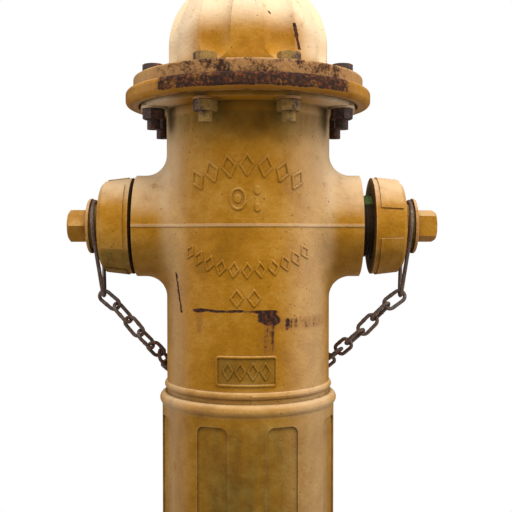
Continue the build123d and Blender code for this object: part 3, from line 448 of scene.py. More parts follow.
class Finish:
    """A material and the few kinds of node that the finishes are made of."""

    def __init__(self, name):
        self.material = bpy.data.materials.new(name)
        self.material.use_nodes = True
        self.tree = self.material.node_tree
        self.shader = self.tree.nodes["Principled BSDF"]
        coordinates = self.node("ShaderNodeTexCoord")
        self.place = Signal(self, coordinates.outputs["Object"])
        parts = self.node("ShaderNodeSeparateXYZ", values={0: self.place})
        self.x, self.y, self.z = (Signal(self, parts.outputs[i]) for i in range(3))
        facing = self.node("ShaderNodeSeparateXYZ", values={0: coordinates.outputs["Normal"]})
        self.facing_up = Signal(self, facing.outputs[2])

    def node(self, kind, settings=None, values=None):
        """A node of the kind given, its settings first and then its sockets' values or links."""
        node = self.tree.nodes.new(kind)
        for key, setting in (settings or {}).items():
            if key == "stops":
                self.set_stops(node.color_ramp, setting)
            else:
                setattr(node, key, setting)
        for key, value in (values or {}).items():
            socket = node.inputs[key]
            if isinstance(value, Signal):
                self.tree.links.new(value.socket, socket)
            elif isinstance(value, bpy.types.NodeSocket):
                self.tree.links.new(value, socket)
            else:
                socket.default_value = value
        return node

    def set_stops(self, ramp, stops):
        """A ramp's colours at its positions."""
        while len(ramp.elements) < len(stops):
            ramp.elements.new(0.5)
        for element, (position, colour) in zip(ramp.elements, stops):
            element.position = position
            element.color = (*colour, 1.0)

    def maths(self, operation, *values, clamp=False):
        """A Math node's result on signals and numbers."""
        node = self.node(
            "ShaderNodeMath",
            {"operation": operation, "use_clamp": clamp},
            dict(enumerate(values)),
        )
        return Signal(self, node.outputs[0])

    def clamped(self, value):
        """The value kept from 0 to 1."""
        return self.maths("ADD", value, 0.0, clamp=True)

    def step(self, value, low, high):
        """Rises smoothly from 0 at low to 1 at high, or falls where low is above high."""
        values = {0: value, 1: low, 2: high, 3: 0.0, 4: 1.0}
        if low > high:
            values = {0: value, 1: high, 2: low, 3: 1.0, 4: 0.0}
        node = self.node("ShaderNodeMapRange", {"interpolation_type": "SMOOTHSTEP"}, values)
        return Signal(self, node.outputs[0])

    def band(self, value, middle, half, soft):
        """1 within half of the middle, falling to 0 over the soft edge."""
        return self.step(abs(value - middle), half + soft, half)

    def noise(self, size, detail=4.0, roughness=0.55, stretch=(1, 1, 1), shift=(0, 0, 0)):
        """Cloudy noise whose patches are about the size given, in metres."""
        spread = self.node(
            "ShaderNodeMapping",
            values={0: self.place, 1: shift, 3: tuple(1 / (size * part) for part in stretch)},
        )
        values = {0: spread.outputs[0], 2: 1.0, 3: detail, 4: roughness}
        node = self.node("ShaderNodeTexNoise", values=values)
        return Signal(self, node.outputs[0])

    def cells(self, size):
        """The distance to the nearest of scattered points about the size given apart."""
        spread = self.node("ShaderNodeMapping", values={0: self.place, 3: (1 / size,) * 3})
        node = self.node("ShaderNodeTexVoronoi", values={0: spread.outputs[0], 2: 1.0})
        return Signal(self, node.outputs[0])

    def crevice(self, distance, inside=False):
        """1 in the open and less in hollows, or with inside 1 on flats and less on edges."""
        node = self.node("ShaderNodeAmbientOcclusion", {"inside": inside, "samples": 6}, {1: distance})
        return Signal(self, node.outputs["AO"])

    def mix(self, share, under, over):
        """The colour under, changed to the colour over by the share."""
        colours = {0: share, 6: colour_value(under), 7: colour_value(over)}
        return Signal(self, self.node("ShaderNodeMix", {"data_type": "RGBA"}, colours).outputs[2])

    def ramp(self, value, stops):
        """The colour that the stops give at the value."""
        node = self.node("ShaderNodeValToRGB", {"stops": stops}, {0: value})
        return Signal(self, node.outputs[0])

    def bump(self, height, distance, strength):
        """The normal of a surface that rises by the distance where the height is 1."""
        values = {"Strength": strength, "Distance": distance, "Height": height}
        return Signal(self, self.node("ShaderNodeBump", values=values).outputs[0])

    def surface(self, colour, roughness, metallic=0.0, normal=None):
        """Sets what the shader is fed with."""
        for key, value in (("Base Color", colour), ("Roughness", roughness), ("Metallic", metallic)):
            socket = self.shader.inputs[key]
            if isinstance(value, Signal):
                self.tree.links.new(value.socket, socket)
            else:
                socket.default_value = colour_value(value)
        if normal is not None:
            self.tree.links.new(normal.socket, self.shader.inputs["Normal"])
        return self.material


def colour_value(colour):
    """A three-part colour with its alpha, and anything else as it is."""
    if isinstance(colour, (tuple, list)) and len(colour) == 3:
        return (*colour, 1.0)
    return colour


# Colours that the finishes share, as linear light
OLD_RUST = (0.050, 0.018, 0.010)
RED_RUST = (0.160, 0.045, 0.014)
ORANGE_RUST = (0.330, 0.110, 0.025)
# Near black for old rust, also used as painted shade in the bolting's hollows.
SOOT_AND_SHADE = (0.020, 0.014, 0.010)
# Grime and lichen colours, also used as painted shade in hollows and under the flange.
GRIME_AND_SHADE = (0.105, 0.055, 0.008)
LICHEN = (0.125, 0.095, 0.020)
PINK_PRIMER = (0.600, 0.330, 0.200)
BROWN_STAIN = (0.230, 0.080, 0.020)


def rust_colour(finish, size=0.004, shift=(0, 0, 0)):
    """Rust from near black through red-brown to orange."""
    patches = finish.noise(size, 5.0, 0.65, shift=shift)
    stops = [(0.40, SOOT_AND_SHADE), (0.53, OLD_RUST), (0.65, RED_RUST), (0.80, ORANGE_RUST)]
    return finish.ramp(patches, stops)


def weathered_paint_light_and_shade(finish, paint, settings, highlight_and_bleach, rust, grime_and_shade, edge_wear=0.6):
    """Old enamel on cast iron, with painted light and shade. What faces the sky turns lighter,
    partly sun-bleached and partly as painted top light, and the places named for lightening get
    painted highlights, some of them bleached too. Ambient occlusion darkens hollows as painted
    shade, the places named for darkening get soiling and painted shade, and rust breaks through
    on edges and in the places that rust names. Each is a signal from 0 to 1, or a number."""
    broad = finish.noise(0.085, 4.0, 0.6)
    patch = finish.noise(0.018, 5.0, 0.6, shift=(3, 1, 7))
    speck = finish.noise(0.0032, 4.0, 0.7, shift=(5, 2, 9))
    streak = finish.noise(0.011, 4.0, 0.6, stretch=(1, 1, 7), shift=(8, 3, 1))
    shade = finish.clamped(broad * 0.7 + patch * 0.5 + speck * 0.25 - 0.22)
    dark, mid, light = paint
    colour = finish.ramp(shade, [(0.22, dark), (0.48, mid), (0.74, light)])
    # Painted top light, with some sun bleaching: paint that faces up turns lighter.
    top_light_and_bleach = finish.step(finish.facing_up * 0.80 + patch * 0.45 + speck * 0.2, 0.62, 1.15)
    # Painted highlights, with some bleaching, where the caller asks for lightening.
    chalk_and_highlight = finish.clamped(highlight_and_bleach * finish.step(patch + speck * 0.4, 0.30, 0.62))
    colour = finish.mix(top_light_and_bleach * settings.bleaching_and_highlight, colour, tuple(settings.faded_and_top_lit_colour))
    colour = finish.mix(chalk_and_highlight * settings.bleaching_and_highlight, colour, tuple(settings.bleached_and_highlight_colour))
    if edge_wear > 0:
        edge = 1.0 - finish.crevice(0.0045, inside=True)
        worn = finish.step(edge + patch * 0.55 + speck * 0.3, 0.86, 1.06)
        colour = finish.mix(worn * edge_wear, colour, PINK_PRIMER)
    # Painted shade: ambient occlusion darkens hollows, corners and the undersides of overhangs.
    hollow = finish.step(finish.crevice(0.024), 0.80, 0.30)
    # Real dirt and painted shade darken together, in one colour.
    dirt_and_shade = finish.clamped(hollow * (0.45 + streak) + grime_and_shade * (0.25 + streak * 1.1))
    dirt_and_shade_colour = finish.mix(finish.step(patch, 0.35, 0.65), GRIME_AND_SHADE, LICHEN)
    colour = finish.mix(dirt_and_shade * settings.dirt_and_shade, colour, dirt_and_shade_colour)
    chips = finish.step(finish.cells(0.0065) + speck * 0.35, 0.32, 0.23)
    scarce = finish.step(broad + streak * 0.35, 0.66, 0.80)
    rusted = finish.step(rust + patch * 0.55 + speck * 0.35, 0.86, 1.00)
    rusted = finish.clamped(rusted + chips * scarce * settings.rust_spots)
    stain = finish.step(rust + patch * 0.5 + streak * 0.3, 0.55, 0.95)
    colour = finish.mix(stain * 0.5, colour, BROWN_STAIN)
    colour = finish.mix(rusted, colour, rust_colour(finish))
    pits = finish.noise(0.0012, 3.0, 0.6)
    height = finish.noise(0.0042, 3.0, 0.5) * 0.6 + pits * 0.22 - rusted * (0.30 + pits * 0.5)
    normal = finish.bump(height, settings.casting_relief, 0.9)
    roughness = finish.clamped(0.44 + dirt_and_shade * 0.3 + rusted * 0.4 + speck * 0.12)
    finish.shader.inputs["Specular IOR Level"].default_value = 0.14
    return finish.surface(colour, roughness, normal=normal)


def paint_of(settings):
    """The paint's dark, plain and light shades."""
    return tuple(settings.dark_paint), tuple(settings.paint), tuple(settings.light_paint)


def scratch(finish, height, low, high, side, lean, half_width):
    """A narrow scar on the front, from low to high, side being its place at low and lean how far
    it moves sideways for each unit of height."""
    ragged = finish.noise(0.006, 4.0, 0.6, shift=(1, 7, 3)) * 0.004 - 0.002
    middle = (height - low) * lean + side + ragged
    line = finish.step(abs(finish.x - middle), half_width * 1.6, half_width * 0.7)
    ends = finish.step(height, low, low + 0.003) * finish.step(height, high, high - 0.003)
    return line * ends * finish.step(finish.y, -0.01, -0.03)


def bonnet_finish(settings):
    """The dome's sides and top get painted highlights, the front of the rim has gone to rust, and
    the iron shows in two scars beside the right flute."""
    finish = Finish("bonnet_paint")
    radius = finish.maths("SQRT", finish.x * finish.x + finish.y * finish.y)
    above = finish.z - RIM_Z
    rim = finish.step(radius, 0.1425, 0.1450)
    ring = finish.step(radius, 0.136, 0.140) * (1.0 - rim)
    under = finish.step(above, 0.0045, 0.0015)
    front = finish.step(finish.y, 0.04, -0.02)
    worst = finish.step(finish.x, -0.130, -0.075) * finish.step(finish.x, 0.138, 0.100) * front
    rust = rim * (0.30 + worst * 0.27) * (1.0 - under * 0.45) + ring * (0.30 + worst * 0.16)
    dome = finish.step(radius, 0.128, 0.10) * finish.step(above, 0.03, 0.06)
    # Painted light on the dome's sides, lit from both sides.
    sides = finish.step(abs(finish.x), 0.050, 0.080) * dome
    # Painted highlight on the top-lit top of the dome.
    crown_highlight = finish.step(above, 0.072, 0.112)
    highlight_and_bleach = finish.clamped(sides * 0.85 + crown_highlight * 0.95 + ring * 0.25)
    # Darker low on the dome, just above the ring and the rim.
    grime_and_shade = finish.step(above, 0.052, 0.036) * (1.0 - rim) * (1.0 - ring) * 0.4
    scars = scratch(finish, above, 0.055, 0.089, 0.0607, -0.206, 0.0017)
    scars = finish.clamped(scars + scratch(finish, above, 0.095, 0.102, 0.0276, -0.62, 0.0007))
    rust = finish.clamped(rust + scars * 0.75)
    return weathered_paint_light_and_shade(finish, paint_of(settings), settings, highlight_and_bleach, rust, grime_and_shade)


def barrel_finish(settings, name="barrel_paint", edge_wear=0.6):
    """Rust bleeds from a line across the front and drips below it, and the foot is dirty. Painted
    shade darkens the barrel under the flange, the bosses' lower halves and the foot's middle;
    painted light brightens the upper sides, the front's sides and the bosses' tops, and a painted
    highlight lightens the casting's parting ridge."""
    finish = Finish(name)
    up = finish.z - OUTLET_Z
    wobble = finish.noise(0.03, 3.0, shift=(1, 6, 2)) * 0.006 - 0.003
    front = finish.step(finish.y, -0.02, -0.06)
    line = finish.band(up + wobble, -0.099, 0.0008, 0.0022) * finish.band(finish.x, -0.0145, 0.046, 0.008)
    sore = finish.band(up + wobble, -0.107, 0.003, 0.007) * finish.band(finish.x, 0.023, 0.008, 0.010)
    streaks = finish.noise(0.0055, 4.0, 0.6, stretch=(1, 1, 6), shift=(2, 4, 4))
    right_drip = finish.band(finish.x, 0.025, 0.0045, 0.007) * finish.band(up, -0.128, 0.016, 0.014)
    left_drip = finish.band(finish.x, -0.056, 0.002, 0.005) * finish.band(up, -0.112, 0.010, 0.012)
    freckled = finish.band(finish.x, 0.066, 0.022, 0.020) * finish.band(up, -0.114, 0.003, 0.012)
    lower_left = finish.step(finish.x, -0.050, -0.085) * finish.step(up, -0.03, -0.07)
    # Painted highlight on the parting rib, over the shade line along it.
    rib_highlight = finish.band(up, 0.0, 0.0016, 0.0008)
    crack = scratch(finish, up, -0.105, -0.055, -0.078, -0.16, 0.0009)
    runs = (right_drip * 0.46 + left_drip * 0.40 + freckled * 0.46) * (0.45 + streaks)
    flange = finish.step(up, 0.128, 0.134)
    rust = line * 0.55 + sore * 0.62 + runs + crack * 0.5 + lower_left * (0.16 + streaks * 0.22)
    rust = finish.clamped(rust * front + flange * 0.20)
    foot = finish.step(up, -0.205, -0.250)
    # Painted shadow under the flange's overhang.
    under = finish.step(up, 0.085, 0.125) * finish.step(up, 0.134, 0.128)
    plate = finish.band(finish.x, -0.001, 0.033, 0.002) * finish.band(up, -0.1684, 0.0145, 0.002)
    mossy = finish.band(finish.x, -0.018, 0.008, 0.022) * finish.step(up, -0.270, -0.335)
    # Painted shade in the foot's middle, between its brighter sides; the rest of the foot's darkening is
    # dirt.
    middle = finish.step(abs(finish.x), 0.075, 0.035)
    grime_and_shade = foot * (0.25 + middle * 0.50) + under * 0.72
    grime_and_shade = finish.clamped(grime_and_shade + plate * front * 0.6 + mossy * front * 0.7)
    # Painted light on the upper sides, lit from both sides.
    side = finish.step(abs(finish.x), 0.070, 0.10) * finish.step(up, 0.03, 0.07)
    beads = finish.band(up, -0.207, 0.012, 0.006)
    on_boss = finish.step(abs(finish.x), 0.095, 0.112) * finish.band(up, 0.0, 0.055, 0.01)
    # Painted highlight on the bosses' top-lit upper halves.
    boss_top_highlight = finish.step(abs(finish.x), 0.085, 0.105) * finish.step(up, 0.005, 0.03)
    # Painted light on the right and left of the front.
    side_highlight = finish.step(finish.x, 0.030, 0.085) * 0.30 + finish.step(finish.x, -0.062, -0.092) * 0.30
    side_highlight = side_highlight * (1.0 - on_boss) * front
    # Painted light on the upper sides, the bosses' tops, the front's sides and the parting rib; the beads
    # are lightened a little.
    highlight_and_bleach = finish.clamped(side * 0.35 + beads * 0.12 + boss_top_highlight * 0.34 + side_highlight + rib_highlight * 0.28)
    # Painted shade on the bosses' lower halves; the parting rib is kept clear of painted shade and dirt.
    grime_and_shade = grime_and_shade + on_boss * finish.step(up, -0.004, -0.030) * 0.30 - rib_highlight * 1.6
    return weathered_paint_light_and_shade(finish, paint_of(settings), settings, highlight_and_bleach, rust, grime_and_shade, edge_wear)


def cap_finish(settings, name, damp):
    """A cap's paint, with damp green soiling under its middle and painted top light on its upper part."""
    finish = Finish(name)
    up = finish.z - OUTLET_Z
    low = finish.step(up, -0.026, -0.034)
    grime_and_shade = low * damp
    rust = finish.step(up, -0.030, -0.060) * 0.25 + 0.06
    # Painted top light on the cap's upper part.
    highlight_and_bleach = finish.step(up, 0.020, 0.050) * 0.45
    return weathered_paint_light_and_shade(finish, paint_of(settings), settings, highlight_and_bleach, rust, grime_and_shade)


def plain_paint_finish(settings, name):
    """The same old paint where nothing special has happened to it."""
    return weathered_paint_light_and_shade(Finish(name), paint_of(settings), settings, 0.1, 0.10, 0.1)


def bolting_finish():
    """Nuts and bolts that were painted over and rust through, most on the hydrant's two sides, with
    painted shade in their hollows.
    """
    finish = Finish("painted_bolting")
    patch = finish.noise(0.010, 5.0, 0.65)
    speck = finish.noise(0.0022, 4.0, 0.7, shift=(4, 4, 1))
    sides = finish.step(abs(finish.x), 0.030, 0.085)
    bare = finish.step(patch + speck * 0.4 + sides * 0.40, 0.78, 1.00)
    olive = finish.mix(finish.step(speck, 0.35, 0.65), (0.180, 0.098, 0.014), (0.340, 0.190, 0.030))
    rust = rust_colour(finish, 0.0035, (6, 1, 1))
    colour = finish.mix(bare, olive, rust)
    # Painted shade: ambient occlusion darkens the hollows round nuts and bolt heads.
    hollow = finish.step(finish.crevice(0.012), 0.75, 0.25)
    colour = finish.mix(hollow * 0.7, colour, SOOT_AND_SHADE)
    height = speck * 0.5 + finish.noise(0.0011, 3.0) * 0.4
    return finish.surface(colour, 0.72, 0.0, finish.bump(height, 0.0006, 0.9))


def chain_steel_finish():
    """Dull grey steel with patches of brown rust, from near black to a pink bloom."""
    finish = Finish("rusty_chain_steel")
    patch = finish.noise(0.008, 5.0, 0.6)
    speck = finish.noise(0.0016, 4.0, 0.7, shift=(2, 2, 2))
    grey = finish.mix(finish.step(speck, 0.3, 0.7), (0.080, 0.070, 0.062), (0.240, 0.205, 0.180))
    browns = [(0.32, SOOT_AND_SHADE), (0.50, (0.110, 0.050, 0.028)), (0.70, (0.300, 0.140, 0.085))]
    brown = finish.ramp(speck, browns)
    rusty = finish.step(patch + speck * 0.35, 0.52, 0.80)
    colour = finish.mix(rusty, grey, brown)
    metallic = finish.clamped(0.75 - rusty * 0.7)
    roughness = finish.clamped(0.42 + rusty * 0.35)
    normal = finish.bump(speck * 0.6 + patch * 0.3, 0.0004, 0.9)
    return finish.surface(colour, roughness, metallic, normal)


def bronze_finish(name, polish):
    """Bronze: brown patina, bright where hands and tools rub it, green in its hollows."""
    finish = Finish(name)
    patch = finish.noise(0.014, 5.0, 0.6)
    speck = finish.noise(0.0020, 4.0, 0.7, shift=(7, 7, 2))
    browns = [(0.30, (0.030, 0.020, 0.012)), (0.62, (0.130, 0.075, 0.032))]
    patina = finish.ramp(patch * 0.7 + speck * 0.3, browns)
    bright = finish.step(patch + speck * 0.3 + polish, 0.75, 1.0)
    colour = finish.mix(bright, patina, (0.560, 0.330, 0.120))
    verdigris = finish.step(finish.crevice(0.008), 0.7, 0.2) * finish.step(speck, 0.45, 0.65)
    colour = finish.mix(verdigris * 0.6, colour, (0.110, 0.210, 0.130))
    metallic = finish.clamped(0.9 - verdigris * 0.8)
    roughness = finish.clamped(0.52 - bright * 0.2 + speck * 0.1)
    return finish.surface(colour, roughness, metallic, finish.bump(speck, 0.0003, 0.8))


def mossy_nozzle_finish():
    """The open nozzle's bronze, nearly black, with moss over the top of its thread."""
    finish = Finish("mossy_bronze")
    patch = finish.noise(0.012, 5.0, 0.6)
    speck = finish.noise(0.0018, 4.0, 0.7, shift=(7, 7, 2))
    browns = [(0.32, (0.016, 0.010, 0.006)), (0.68, (0.090, 0.045, 0.018))]
    patina = finish.ramp(patch * 0.5 + speck * 0.5, browns)
    top = finish.step(finish.z - OUTLET_Z, 0.018, 0.034)
    mossy = finish.step(top + patch * 0.5 + speck * 0.25, 0.78, 1.02)
    green = finish.mix(finish.step(speck, 0.38, 0.62), (0.020, 0.040, 0.008), (0.130, 0.190, 0.035))
    colour = finish.mix(mossy, patina, green)
    metallic = finish.clamped(0.55 - mossy)
    height = speck * (0.3 + mossy)
    return finish.surface(colour, 0.7, metallic, finish.bump(height, 0.0008, 0.9))


def moss_finish():
    """Moss: dark between its tufts and yellow-green at their tips."""
    finish = Finish("moss")
    speck = finish.noise(0.0012, 5.0, 0.75)
    tuft = finish.cells(0.0016)
    tone = finish.clamped(speck * 0.9 + (0.6 - tuft) * 0.4 - 0.1)
    greens = [(0.25, (0.016, 0.026, 0.006)), (0.5, (0.070, 0.110, 0.018)), (0.78, (0.260, 0.300, 0.060))]
    colour = finish.ramp(tone, greens)
    return finish.surface(colour, 0.95, 0.0, finish.bump(speck - tuft * 0.6, 0.0016, 1.0))


def coated_iron_finish(name):
    """Buried iron: black coating with soil dried on it and rust at its scars."""
    finish = Finish(name)
    broad = finish.noise(0.070, 4.0, 0.6)
    patch = finish.noise(0.015, 5.0, 0.65, shift=(3, 3, 3))
    speck = finish.noise(0.0025, 4.0, 0.7, shift=(1, 9, 2))
    coat = finish.mix(finish.step(speck, 0.35, 0.65), (0.014, 0.013, 0.013), (0.040, 0.036, 0.032))
    soil = finish.mix(finish.step(speck, 0.4, 0.6), (0.120, 0.075, 0.040), (0.260, 0.180, 0.105))
    soiled = finish.step(broad + patch * 0.45 + finish.facing_up * 0.15, 0.72, 0.92)
    colour = finish.mix(soiled * 0.85, coat, soil)
    edge = 1.0 - finish.crevice(0.004, inside=True)
    scars = finish.step(edge * 0.6 + patch * 0.6 + speck * 0.3, 0.80, 0.95)
    colour = finish.mix(scars, colour, rust_colour(finish, 0.005, (2, 8, 8)))
    height = finish.noise(0.0048, 3.0) * 0.6 + speck * 0.3 + soiled * 0.2
    roughness = finish.clamped(0.42 + soiled * 0.4 + scars * 0.4)
    return finish.surface(colour, roughness, 0.0, finish.bump(height, 0.0011, 0.9))


def machined_steel_finish():
    """The stem's turned steel: fine rings round it and patches of light rust."""
    finish = Finish("turned_steel")
    patch = finish.noise(0.020, 5.0, 0.6)
    rings = finish.noise(0.0009, 2.0, 0.5, stretch=(60, 60, 1))
    colour = finish.mix(rings, (0.330, 0.320, 0.310), (0.520, 0.510, 0.495))
    rusty = finish.step(patch, 0.56, 0.70)
    colour = finish.mix(rusty * 0.8, colour, (0.170, 0.075, 0.035))
    metallic = finish.clamped(1.0 - rusty * 0.8)
    roughness = finish.clamped(0.30 + rusty * 0.4 + rings * 0.08)
    return finish.surface(colour, roughness, metallic, finish.bump(rings, 0.0002, 0.6))


def rubber_finish():
    """Black rubber with a grey bloom."""
    finish = Finish("seal_rubber")
    patch = finish.noise(0.012, 4.0, 0.6)
    speck = finish.noise(0.0010, 3.0, 0.6, shift=(3, 1, 1))
    colour = finish.mix(finish.step(patch, 0.4, 0.7), (0.014, 0.014, 0.015), (0.050, 0.050, 0.052))
    return finish.surface(colour, finish.clamped(0.6 + patch * 0.2), 0.0, finish.bump(speck, 0.0002, 0.6))


def plastic_finish():
    """Cream bearing plastic, scuffed brown."""
    finish = Finish("bearing_plastic")
    patch = finish.noise(0.010, 4.0, 0.6)
    scuff = finish.noise(0.0015, 3.0, 0.6, stretch=(8, 8, 1), shift=(2, 1, 5))
    scuffed = finish.step(patch + scuff * 0.3, 0.5, 0.8)
    colour = finish.mix(scuffed, (0.620, 0.560, 0.430), (0.300, 0.230, 0.140))
    return finish.surface(colour, finish.clamped(0.35 + scuff * 0.2), 0.0, finish.bump(scuff, 0.0002, 0.6))


def wear(node, material):
    """Gives a frame node its finish on every material slot that it has."""
    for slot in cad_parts[node].material_slots:
        slot.material = material


BOLTING = [
    "bonnet_bolts", "bonnet_nuts", "safety_flange_bolts", "safety_flange_nuts",
    "housing_bolts", "housing_nuts", "shoe_bolts", "shoe_nuts", "oil_filler_plug",
    "facing_screws", "nozzle_locks", "lock_washer",
]
BURIED = ["lower_barrel", "drain_ring_housing", "shoe", "safety_flange", "lower_valve_plate"]
BRONZE = ["hold_down_nut", "upper_valve_plate", "cap_nut", "seat_ring", "drain_ring"]
STEM = ["upper_stem", "lower_stem", "stem_coupling", "coupling_pins", "cotter_pins"]
RUBBER = [
    "bonnet_seal", "stem_seals", "hold_down_seals", "main_valve", "seat_ring_seals",
    "ground_seal", "housing_seals", "nozzle_seals", "left_hose_cap_gasket",
    "right_hose_cap_gasket", "pumper_cap_gasket",
]
CHAIN_HARDWARE = [
    "left_hose_chain_ring", "right_hose_chain_ring", "pumper_chain_ring", "chain_shackle",
]


# Settings


class PaintSettings(bpy.types.PropertyGroup):
    """The colours and the age of the paint, and how strong the light and shade painted on it are."""

    paint: bpy.props.FloatVectorProperty(
        name="Paint", description="Colour of the sound paint", subtype="COLOR",
        default=(0.375, 0.158, 0.006), min=0.0, max=1.0,
    )
    dark_paint: bpy.props.FloatVectorProperty(
        name="Dark paint", description="Colour of the stained paint", subtype="COLOR",
        default=(0.225, 0.090, 0.003), min=0.0, max=1.0,
    )
    light_paint: bpy.props.FloatVectorProperty(
        name="Light paint", description="Colour of the chalky paint", subtype="COLOR",
        default=(0.500, 0.255, 0.040), min=0.0, max=1.0,
    )
    # The bleached colour is also the colour of the painted highlights.
    bleached_and_highlight_colour: bpy.props.FloatVectorProperty(
        name="Bleached paint", description="Colour that the sun leaves", subtype="COLOR",
        default=(0.790, 0.610, 0.400), min=0.0, max=1.0,
    )
    # The faded colour is also the colour of the painted top light.
    faded_and_top_lit_colour: bpy.props.FloatVectorProperty(
        name="Faded paint", description="Colour of the paint that faces the sky", subtype="COLOR",
        default=(0.600, 0.375, 0.170), min=0.0, max=1.0,
    )
    # Also sets how strong the painted highlights and top light are.
    bleaching_and_highlight: bpy.props.FloatProperty(
        name="Bleaching", description="How far the sun has bleached it", subtype="FACTOR",
        default=0.85, min=0.0, max=1.0,
    )
    # Also sets how dark the painted shade is in hollows, under the flange and on the bosses' lower halves.
    dirt_and_shade: bpy.props.FloatProperty(
        name="Dirt", description="How dark the hollows are", subtype="FACTOR",
        default=0.85, min=0.0, max=1.0,
    )
    rust_spots: bpy.props.FloatProperty(
        name="Rust spots", description="How many chips show rust", subtype="FACTOR",
        default=0.9, min=0.0, max=1.0,
    )
    casting_relief: bpy.props.FloatProperty(
        name="Casting relief", description="Depth of the rough cast skin",
        default=0.0012, min=0.0, max=0.01, subtype="DISTANCE", unit="LENGTH", precision=4,
    )


class ThreadSettings(bpy.types.PropertyGroup):
    """The outlets' threads."""

    hose_threads_per_inch: bpy.props.FloatProperty(
        name="Hose threads per inch", description="Threads on each hose nozzle",
        default=7.5, min=1.0, max=20.0,
    )
    pumper_threads_per_inch: bpy.props.FloatProperty(
        name="Pumper threads per inch", description="Threads on the pumper nozzle",
        default=4.0, min=1.0, max=20.0,
    )
    hose_bore: bpy.props.FloatProperty(
        name="Hose bore radius", description="Radius of each hose nozzle's bore",
        default=0.03175, min=0.01, max=0.036, subtype="DISTANCE", unit="LENGTH", precision=4,
    )
    pumper_bore: bpy.props.FloatProperty(
        name="Pumper bore radius", description="Radius of the pumper nozzle's bore",
        default=0.05715, min=0.02, max=0.068, subtype="DISTANCE", unit="LENGTH", precision=4,
    )


class ChainSettings(bpy.types.PropertyGroup):
    """The chains' links."""

    wire_radius: bpy.props.FloatProperty(
        name="Wire radius", description="Half the thickness of a link's wire",
        default=0.0024, min=0.0005, max=0.0024, subtype="DISTANCE", unit="LENGTH", precision=4,
    )
    inner_length: bpy.props.FloatProperty(
        name="Inner length", description="Length of the opening in a link",
        default=0.024, min=0.01, max=0.03, subtype="DISTANCE", unit="LENGTH", precision=4,
    )
    inner_width: bpy.props.FloatProperty(
        name="Inner width", description="Width of the opening in a link",
        default=0.0095, min=0.004, max=0.012, subtype="DISTANCE", unit="LENGTH", precision=4,
    )


class MarkSettings(bpy.types.PropertyGroup):
    """The plain marks cast on the barrel's front."""

    relief: bpy.props.FloatProperty(
        name="Relief", description="How far the marks stand off the barrel",
        default=0.0017, min=0.0005, max=0.004, subtype="DISTANCE", unit="LENGTH", precision=4,
    )
    upper_radius: bpy.props.FloatProperty(
        name="Upper arc radius", description="Radius of the upper arc of marks",
        default=0.1266, min=0.05, max=0.5, subtype="DISTANCE", unit="LENGTH", precision=4,
    )
    upper_middle: bpy.props.FloatProperty(
        name="Upper arc middle", description="Height of the upper arc's middle above the outlets",
        default=-0.0581, min=-0.5, max=0.5, subtype="DISTANCE", unit="LENGTH", precision=4,
    )
    upper_spread: bpy.props.FloatProperty(
        name="Upper arc spread", description="Half the angle that the upper arc covers",
        default=math.radians(29.1), min=0.1, max=1.2, subtype="ANGLE", unit="ROTATION",
    )
    lower_radius: bpy.props.FloatProperty(
        name="Lower arc radius", description="Radius of the lower arc of marks",
        default=0.137, min=0.05, max=0.5, subtype="DISTANCE", unit="LENGTH", precision=4,
    )
    lower_middle: bpy.props.FloatProperty(
        name="Lower arc middle", description="Height of the lower arc's middle above the outlets",
        default=0.0847, min=-0.5, max=0.5, subtype="DISTANCE", unit="LENGTH", precision=4,
    )
    lower_spread: bpy.props.FloatProperty(
        name="Lower arc spread", description="Half the angle that the lower arc covers",
        default=math.radians(32.2), min=0.1, max=1.2, subtype="ANGLE", unit="ROTATION",
    )


class StageSettings(bpy.types.PropertyGroup):
    """The floor, the lights and the camera."""

    camera_distance: bpy.props.FloatProperty(
        name="Camera distance", description="From the camera to the barrel's axis",
        default=1.040, min=0.3, max=6.0, subtype="DISTANCE", unit="LENGTH", precision=3,
    )
    camera_side: bpy.props.FloatProperty(
        name="Camera side", description="How far the camera stands to the right",
        default=0.0100, min=-1.0, max=1.0, subtype="DISTANCE", unit="LENGTH", precision=4,
    )
    camera_drop: bpy.props.FloatProperty(
        name="Camera drop", description="How far the camera is below the outlets' line",
        default=0.0127, min=-1.0, max=1.0, subtype="DISTANCE", unit="LENGTH", precision=4,
    )
    camera_pitch: bpy.props.FloatProperty(
        name="Camera pitch", description="How far the camera looks down",
        default=math.radians(1.39), min=-0.5, max=0.5, subtype="ANGLE", unit="ROTATION",
    )
    focal_length: bpy.props.FloatProperty(
        name="Focal length", description="The lens, on a 36 mm sensor",
        default=57.8, min=18.0, max=200.0, subtype="DISTANCE_CAMERA", unit="CAMERA",
    )
    top_light: bpy.props.FloatProperty(
        name="Top light", description="Power of the soft light overhead",
        default=34.0, min=0.0, max=1000.0, subtype="POWER", unit="POWER",
    )
    front_light: bpy.props.FloatProperty(
        name="Front light", description="Power of the soft light in front",
        default=2.0, min=0.0, max=1000.0, subtype="POWER", unit="POWER",
    )
    side_light: bpy.props.FloatProperty(
        name="Side light", description="Power of the soft light at the right",
        default=16.0, min=0.0, max=1000.0, subtype="POWER", unit="POWER",
    )
    surround: bpy.props.FloatProperty(
        name="Surround", description="How brightly the pale room lights the hydrant",
        default=0.24, min=0.0, max=3.0,
    )


# Operators


